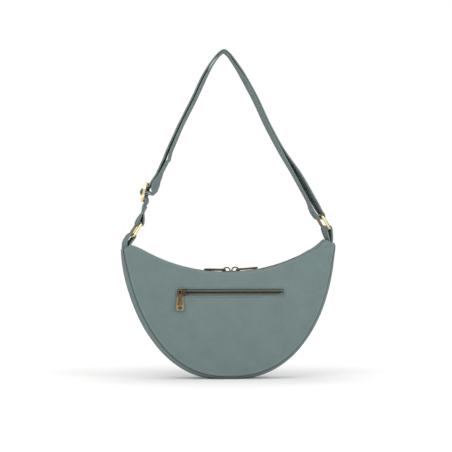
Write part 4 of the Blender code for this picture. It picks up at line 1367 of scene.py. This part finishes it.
# Shares of a tab's width from its bar, across and up, with half the gap between its layers.
TAB_LEFT = [(-0.282, -0.893, 0.075), (-0.283, -0.607, 0.082), (-0.240, -0.357, 0.112),
            (-0.105, -0.132, 0.140)]
TAB_RIGHT = [(0.150, -1.150, 0.050), (0.150, -0.864, 0.052), (0.130, -0.579, 0.080),
             (0.060, -0.275, 0.115)]
RING_LOOP = [(0.353, 1.088, 0.045), (0.200, 0.627, 0.044), (0.078, 0.270, 0.105)]
# Shares of the span between the rings' upper bars, and of the height from there to the apex.
STRAP_MIDLINE = [
    (0.075, 0.2292), (0.099, 0.2816), (0.140, 0.3534), (0.168, 0.4272), (0.231, 0.5727),
    (0.301, 0.7182), (0.366, 0.8638), (0.416, 0.9511), (0.464, 1.0), (0.496, 0.9802),
    (0.518, 0.9511), (0.574, 0.8638), (0.650, 0.7182), (0.715, 0.5727), (0.790, 0.4272),
    (0.873, 0.2816), (0.951, 0.1361), (0.978, 0.0779), (1, 0.0444),
]
# Shares of the adjuster's width from its middle, across and up.
WEAVE_BEFORE = [(0.036, -0.392), (0.034, -0.272)]
WEAVE_AFTER = [(0.100, 0.184), (0.196, 0.300)]
BAR_LOOP = (0.289, -0.084)
RETURN_RUN = [(0.334, -0.061), (0.372, 0.153), (0.425, 0.389), (0.540, 0.732), (0.760, 1.179)]
# How far the layers above the adjuster stand off their middle line: height and shift in millimetres.
OUTER_SHIFTS = [(285, 0), (294, 1.5), (304, 2.6), (312, 1.2), (322, -0.5), (345, -0.3), (375, 0)]
INNER_SHIFTS = [(278, 0), (285, -0.8), (293, -0.3), (304, 2.0), (320, 2.8), (345, 0.8), (375, 0)]


def spread_line(shares, unit, origin, end, steps):
    """A middle line from its shares, with the gap at each point, both run smoothly to the end."""
    s = strap()
    radius = s.ring_wire + s.clearance + s.webbing / 2
    line = smooth_line(local_line(origin, [share[:2] for share in shares], unit) + [flat(end)], steps)
    gaps = [Vector((share[2] * unit, 0)) for share in shares] + [Vector((radius, 0))]
    return line, [gap.x for gap in smooth_line(gaps, steps)], radius


def tab_piece(name, pivot, shares, seed, low_yaw, high_yaw):
    """A short tab, round a ring's lower bar. The yaws are shares of the ring's own."""
    s = strap()
    line, gaps, radius = spread_line(shares, s.tab_width, pivot, pivot, 6)
    path = looped(line[:-2], gaps[:-2], flat(pivot), radius, 18)
    low, high = line[0].y, pivot.z

    def drape(place):
        return s.ring_yaw * mix(low_yaw, high_yaw, ease((place.y - low) / (high - low))), 0

    return webbing_piece(name, path, s.webbing, s.tab_width, drape, seed)


def strap_top():
    return strap().top - strap().webbing - strap().apex_gap


def stood_off(places, shifts):
    """A layer's line, shifted sideways by a table of heights and shifts."""
    moved = []
    for place in places:
        shift = 0
        for (low, first), (high, second) in zip(shifts, shifts[1:]):
            if low * MM <= place.y < high * MM:
                shift = mix(first, second, ease((place.y / MM - low) / (high - low)))
        moved.append(place + Vector((shift * MM, 0)))
    return moved


def in_left_leg(place):
    return place.x < (left_bar().x + right_bar().x) / 2


# How near the middle line a point may lie and still be partly in either layer.
LAYER_NEAR = 2 * MM


def layer_side(place):
    """Which layer of the strap a point lies in: -1 in the left one, 1 in the right one."""
    line = [point for point in strap_line() if in_left_leg(point) == in_left_leg(place)]
    nearest = min(line, key=lambda point: abs(point.y - place.y))
    return min(max((place.x - nearest.x) / LAYER_NEAR, -1), 1)


# Where the strap's legs start to take the apex's yaw, and how far on they have it.
APEX_FROM, APEX_REACH = 440 * MM, 40 * MM
# Where the right leg's layers start to open above the right ring, and how far below they are open.
OPEN_BELOW, OPEN_REACH = 350 * MM, 50 * MM
# How far above the adjuster the left leg has its own yaw.
LEG_REACH = 30 * MM
# The return run's extra turn: from the adjuster's middle, its start, run, end and run-out.
RETURN_START, RETURN_IN, RETURN_END, RETURN_OUT = -4 * MM, 14 * MM, 32 * MM, 22 * MM
# Over what share of the webbing's width the right leg takes the right ring's yaw.
RING_SHARE = 0.85


def left_leg_drape(place, rightward, high):
    """Turned by the left ring, the adjuster and the apex, and the return run a little more."""
    s, at, left = strap(), adjuster_place(), left_bar()
    above = place.y - at.z
    low_share = ease((place.y - left.z) / (at.z - s.adjuster_short / 2 - left.z))
    over = ease((above - s.adjuster_short / 2) / LEG_REACH)
    leg_yaw = mix(s.left_leg_yaw, s.top_yaw, high)
    yaw = mix(mix(s.ring_yaw, s.adjuster_yaw, low_share), leg_yaw, over)
    in_return = ease((above - RETURN_START) / RETURN_IN) * ease((RETURN_END - above) / RETURN_OUT)
    away = ease(abs(above) / (2 * s.adjuster_short))
    square = (at.x - place.x) * math.tan(s.adjuster_yaw) * (1 - away) * low_share
    return yaw + s.return_turn * rightward * in_return, left.y * (1 - low_share) + square


def right_leg_drape(place, rightward, high):
    """Two layers that open above the right ring and are turned by its upper bar."""
    s, right = strap(), right_bar()
    low_leg = ease((OPEN_BELOW - place.y) / OPEN_REACH)
    left_yaw = mix(s.inner_yaw, s.inner_low_yaw, low_leg)
    right_yaw = mix(s.outer_yaw, s.outer_low_yaw, low_leg)
    leg_yaw = mix(mix(left_yaw, right_yaw, rightward), s.top_yaw, high)
    near = ease(1 - (place.y - right.z) / (RING_SHARE * s.webbing_width))
    return mix(leg_yaw, s.ring_yaw, near), right.y * near


def strap_drape(place):
    """Yaw and depth of the strap at a point of the front view."""
    high = ease((place.y - APEX_FROM) / APEX_REACH)
    rightward = (layer_side(place) + 1) / 2
    leg = left_leg_drape if in_left_leg(place) else right_leg_drape
    return leg(place, rightward, high)


def strap_line():
    """The middle line between the strap's two layers, from above the left ring to the right ring."""
    left, right = left_bar(), right_bar()
    knots = [Vector((mix(left.x, right.x, x), mix(left.z, strap_top(), z))) for x, z in STRAP_MIDLINE]
    return smooth_line(knots, 10)


# Where the layers above the right ring belly out: over how far from it, and how far up.
SLACK_IN, SLACK_REACH = 20 * MM, 110 * MM


def strap_offsets(line):
    """How far each layer stands off the middle line, at each of its points."""
    s = strap()
    open_radius = s.ring_wire + s.open_clearance + s.webbing / 2
    top = Vector((mix(left_bar().x, right_bar().x, STRAP_MIDLINE[8][0]), strap_top()))
    offsets = []
    for place in line:
        spread = mix(s.apex_gap, s.layer_gap, ease((place - top).length / s.webbing_width))
        away = (place - line[-1]).length
        near = ease(1 - away / s.webbing_width)
        belly = ease(away / SLACK_IN) * ease(1.3 - away / SLACK_REACH) if place.x > 0 else 0
        offsets.append(mix(s.webbing / 2 + spread, open_radius, near) + s.slack * belly)
    return offsets


def bar_gap():
    return strap().adjuster_bar + strap().clearance


def thin_webbing():
    """The sewn end is thinned, so that it passes under the weave on the adjuster's bar."""
    return strap().webbing - strap().clearance


# How far a blend stays above the adjuster, below its weave, and above the left ring's bar.
BLEND_ABOVE, BLEND_BELOW, BLEND_FROM_BAR = 6 * MM, 2 * MM, 5 * MM


def ride_adjuster(piece):
    """Puts a run of webbing's place into its mesh, so that its object sits at the origin."""
    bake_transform(piece)


def ring_loop_piece():
    """The sewn loop round the left ring's upper bar, up to the adjuster."""
    s = strap()
    before = local_line(adjuster_place(), WEAVE_BEFORE, s.adjuster_long)
    low, gaps, radius = spread_line(RING_LOOP, s.tab_width, left_bar(), left_bar(), 8)
    loop = looped(low[:-2], gaps[:-2], flat(left_bar()), radius, 18)
    up = smooth_line([loop[-4], loop[-3] * 0.5 + before[0] * 0.5, before[0]], 4)
    piece = webbing_piece("strap_ring_loop_webbing", loop[3:-3] + up[1:], s.webbing, s.webbing_width,
                          strap_drape, 55)
    dress(piece, None, material("webbing"), ["strap_ring_loop"])
    left_bar().x
    left_bar().z + BLEND_FROM_BAR
    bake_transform(piece)


def outer_piece(outer):
    """The weave over the adjuster's middle bar and the outer run above it, up to the apex."""
    s, at = strap(), flat(adjuster_place())
    before = local_line(adjuster_place(), WEAVE_BEFORE, s.adjuster_long)
    after = local_line(adjuster_place(), WEAVE_AFTER, s.adjuster_long)
    lean = Vector((math.sin(s.adjuster_lean), math.cos(s.adjuster_lean)))
    out = Vector((-lean.y, lean.x))
    radius = bar_gap() + thin_webbing() + s.clearance + s.webbing / 2
    turns = [math.pi * (step / 18 - 0.5) for step in range(19)]
    arc = [at + (lean * math.sin(turn) + out * math.cos(turn)) * radius for turn in turns]
    run = [place for place in outer if place.y > after[-1].y + 3 * s.webbing]
    path = smooth_line(before, 5)[:-1] + smooth_line([before[1], arc[0]], 4)[:-1] + arc
    path += smooth_line([arc[-1], after[0]], 4)[1:-1]
    path += smooth_line([after[0], after[1], run[0], run[8]], 8)[:-8] + run[1:]
    piece = webbing_piece("strap_left_outer_webbing", stood_off(path, OUTER_SHIFTS), s.webbing,
                          s.webbing_width, strap_drape, 57)
    dress(piece, None, material("webbing"), ["strap_weave", "strap_outer_run"])
    return piece


def inner_piece(inner):
    """The return run down from the apex, and its sewn end round the adjuster's middle bar."""
    s, at = strap(), flat(adjuster_place())
    end = local_line(adjuster_place(), [BAR_LOOP], s.adjuster_long)[0]
    thin = thin_webbing()
    radius = bar_gap() + thin / 2
    bar_line = [mix(end, at, share / 12) for share in range(11)]
    bar_gaps = [mix(thin / 2 + s.clearance, radius, (share / 12) ** 2) for share in range(11)]
    knots = local_line(adjuster_place(), RETURN_RUN, s.adjuster_long)
    run = [place for place in inner if place.y > knots[-1].y + s.webbing]
    down = (smooth_line(knots + [run[0]], 6)[:-1] + run)[::-1]
    path = down[:-3] + looped(bar_line, bar_gaps, at, radius, 16)[2:]
    piece = webbing_piece("strap_left_inner_webbing", stood_off(path, INNER_SHIFTS), thin,
                          s.webbing_width, strap_drape, 59)
    dress(piece, None, material("webbing"), ["strap_bar_loop", "strap_return_run"])
    return piece


def long_piece(line, offsets):
    """The long run from the apex round the right ring's upper bar and back."""
    s = strap()
    radius = s.ring_wire + s.open_clearance + s.webbing / 2
    path = looped(line, offsets, flat(right_bar()), radius, 18)
    piece = webbing_piece("strap_long_webbing", path, s.webbing, s.webbing_width, strap_drape, 61)
    dress(piece, "strap", material("webbing"), ["strap_long_run"])


class BAG_OT_strap(bpy.types.Operator):
    """Models the shoulder strap's webbing, its tabs and its loops."""

    bl_idname = "bag.strap"
    bl_label = "Strap and tabs"

    def execute(self, context):
        for name, pivot, shares, seed, low_yaw, high_yaw in (
                ("left", left_pivot(), TAB_LEFT, 51, 1.5, 1.1),
                ("right", right_pivot(), TAB_RIGHT, 53, 0.2, 1.15)):
            piece = tab_piece("tab_%s_webbing" % name, pivot, shares, seed, low_yaw, high_yaw)
            dress(piece, "bag", material("webbing"), ["tab_" + name])
        ring_loop_piece()
        line = strap_line()
        offsets = strap_offsets(line)
        cut = max(range(len(line)), key=lambda index: line[index].y)
        outer, inner = beside(line, offsets, 1), beside(line, offsets, -1)
        for piece in (outer_piece(outer[1:cut + 1]), inner_piece(inner[1:cut + 1])):
            ride_adjuster(piece)
        long_piece(line[cut:-1], offsets[cut:-1])
        return {"FINISHED"}


def round_corners(piece):
    """Rounds the adjuster's frame at its corners, where the CAD's is nearly square."""
    s = strap()
    edit(piece, (bpy.ops.mesh.subdivide, {"number_cuts": 2}))
    along, up = turned(s.adjuster_yaw, s.adjuster_lean)
    corner = s.adjuster_corner
    for vertex in piece.data.vertices:
        away = vertex.co - adjuster_place()
        reach, rise = away.dot(along), away.dot(up)
        past = abs(reach) - s.adjuster_long / 2 + corner, abs(rise) - s.adjuster_short / 2 + corner
        if min(past) > 0:
            pull_in = 1 - max(past) / math.hypot(*past)
            vertex.co -= along * math.copysign(past[0] * pull_in, reach)
            vertex.co -= up * math.copysign(past[1] * pull_in, rise)
    smooth(piece, 50)


class BAG_OT_fittings(bpy.types.Operator):
    """Models the two wire rings and the cast strap adjuster."""

    bl_idname = "bag.fittings"
    bl_label = "Rings and adjuster"

    def execute(self, context):
        for word in ("left", "right"):
            piece = node_copy("ring_%s_wire" % word, "ring_" + word)
            edit(piece, (bpy.ops.mesh.remove_doubles, {"threshold": 0.00001}),
                 (bpy.ops.mesh.tris_convert_to_quads, {}),
                 (bpy.ops.transform.shrink_fatten, {"value": strap().ring_shrink}))
            apply_modifier(piece, "SUBSURF", levels=2, render_levels=2)
            smooth(piece, 180)
            dress(piece, word + "_ring", material("brass"), ["ring_" + word])
        piece = metal_copy("adjuster_cast", "adjuster", "brass", strap().adjuster_edge, 2, "brass")
        round_corners(piece)
        dress(piece, "strap_adjuster", None, ["adjuster"])
        return {"FINISHED"}


# The studio

# Each lamp's place, the width of its soft box in metres and its power in watts.
LAMPS = (("key_light", (-0.9, -1.6, 1.45), 1.5, 16.5), ("fill_light", (1.3, -1.3, 1.1), 1.3, 12),
         ("top_light", (0.0, 0.3, 2.0), 1.6, 7))
# The photo's camera: its distance in metres, how far round the bag it stands, and its focal length.
CAMERA_AWAY, CAMERA_ROUND, CAMERA_LENS = 3, math.radians(4.5), 159.3
# The point that it looks at, across and up.
CAMERA_X, CAMERA_HEIGHT = -3 * MM, 228 * MM


class BAG_OT_studio(bpy.types.Operator):
    """Sets the floor, the background, the soft light and the camera."""

    bl_idname = "bag.studio"
    bl_label = "Studio"

    def execute(self, context):
        scene = context.scene
        clear_selection()
        bpy.ops.mesh.primitive_plane_add(size=8, location=(0, 0, 0))
        floor = newest("studio_floor")
        floor.data.materials.append(pale_floor())
        white_world(scene)
        for name, place, size, power in LAMPS:
            lamp(name, place, size, power)
        data = bpy.data.cameras.new("photo_camera")
        data.sensor_width = 36
        data.lens = CAMERA_LENS
        data.clip_end = 50
        camera = put_in_scene("photo_camera", data)
        camera.location = (CAMERA_X - CAMERA_AWAY * math.sin(CAMERA_ROUND),
                           -CAMERA_AWAY * math.cos(CAMERA_ROUND), CAMERA_HEIGHT)
        camera.rotation_euler = (math.pi / 2, 0, -CAMERA_ROUND)
        scene.camera = camera
        scene.view_settings.view_transform = "Standard"
        return {"FINISHED"}


def lamp(name, place, size, power):
    """A square soft box that looks at the bag's middle."""
    data = bpy.data.lights.new(name, "AREA")
    data.size = size
    data.energy = power
    made = put_in_scene(name, data)
    made.location = place
    way = Vector((0, 0, 0.2)) - Vector(place)
    made.rotation_euler = way.to_track_quat("-Z", "Y").to_euler()
    return made


def pale_floor():
    """Matt pale floor: it takes the bag's shadow, and reads white where nothing shades it."""
    made, tree, shader = new_material("Matt white studio floor")
    path = add_node(tree, "LightPath").node.outputs
    seen = add_node(tree, "Math", MAXIMUM, i0=path["Is Camera Ray"], i1=path["Is Glossy Ray"])
    # Near the bag the lamps alone make the floor white; further off, where they fade, it glows.
    spot = add_node(tree, "TexCoord", out="Object")
    away = add_node(tree, "VectorMath", LENGTH, "Value", i0=spot)
    glow = add_node(tree, "MapRange", Value=away, i1=0.14, i2=0.9, i3=0.1, i4=0.6)
    fill_sockets(tree, shader, Base_Color=tone("floor"), Roughness=0.9, Specular_IOR_Level=0.1,
                 Emission_Strength=add_node(tree, "Math", MULTIPLY, i0=seen, i1=glow),
                 Emission_Color=(1, 1, 1, 1))
    return made


def white_world(scene):
    """White where the camera sees it, a room where gloss mirrors it, and a plain grey light."""
    scene.world = bpy.data.worlds.new("White studio")
    scene.world.use_nodes = True
    tree = scene.world.node_tree
    path = add_node(tree, "LightPath").node.outputs
    mirrored = add_node(tree, "Math", MAXIMUM, i0=path["Is Glossy Ray"], i1=path["Is Transmission Ray"])
    # The wall behind the bag is white, the sides are dark and the soft boxes are bright, for metal
    # needs all three. A ray's Y is -1 straight at the soft boxes and 1 straight at the wall.
    way = add_node(tree, "SeparateXYZ", out=1, i0=add_node(tree, "TexCoord", out="Generated"))
    before = add_node(tree, "MapRange", Value=way, i1=-0.92, i2=-0.5, i3=0.95, i4=0.04)
    behind = add_node(tree, "MapRange", Value=way, i1=0.75, i2=0.95, i3=0.0, i4=1.0)
    room = add_node(tree, "Math", MAXIMUM, i0=before, i1=behind)
    level = add_node(tree, "Mix", NUMBERS, i0=mirrored, i2=0.56, i3=room)
    level = add_node(tree, "Mix", NUMBERS, i0=path["Is Camera Ray"], i2=level, i3=1.0)
    fill_sockets(tree, tree.nodes["Background"], Strength=level, Color=(1, 1, 1, 1))


# The add-on

class BAG_PT_panel(bpy.types.Panel):
    """The belt bag's steps, in the order in which they run."""

    bl_idname = "BAG_PT_panel"
    bl_label = "Belt bag"
    bl_space_type = "VIEW_3D"
    bl_region_type = "UI"
    bl_category = "Belt bag"

    def draw(self, context):
        for step in STEPS:
            self.layout.operator(step.bl_idname)
        for group in ("bag_sizes", "zip_sizes", "strap_sizes", "bag_colours"):
            box = self.layout.box()
            sizes = getattr(context.scene, group)
            for name in sizes.__annotations__:
                box.prop(sizes, name)


STEPS = (BAG_OT_canvas_body, BAG_OT_main_zip, BAG_OT_pocket_zip, BAG_OT_strap, BAG_OT_fittings,
         BAG_OT_studio)
GROUPS = (("bag_sizes", BagSizes), ("zip_sizes", ZipSizes), ("strap_sizes", StrapSizes),
          ("bag_colours", BagColours))


def register():
    for name, group in GROUPS:
        bpy.utils.register_class(group)
        setattr(bpy.types.Scene, name, PointerProperty(type=group))
    for kind in STEPS + (BAG_PT_panel,):
        bpy.utils.register_class(kind)


def unregister():
    for kind in (BAG_PT_panel,) + STEPS[::-1]:
        bpy.utils.unregister_class(kind)
    for name, group in GROUPS[::-1]:
        delattr(bpy.types.Scene, name)
        bpy.utils.unregister_class(group)


def main():
    register()
    bpy.ops.bag.canvas_body()
    bpy.ops.bag.main_zip()
    bpy.ops.bag.pocket_zip()
    bpy.ops.bag.strap()
    bpy.ops.bag.fittings()
    bpy.ops.bag.studio()
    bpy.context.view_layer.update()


if __name__ == "__main__":
    main()
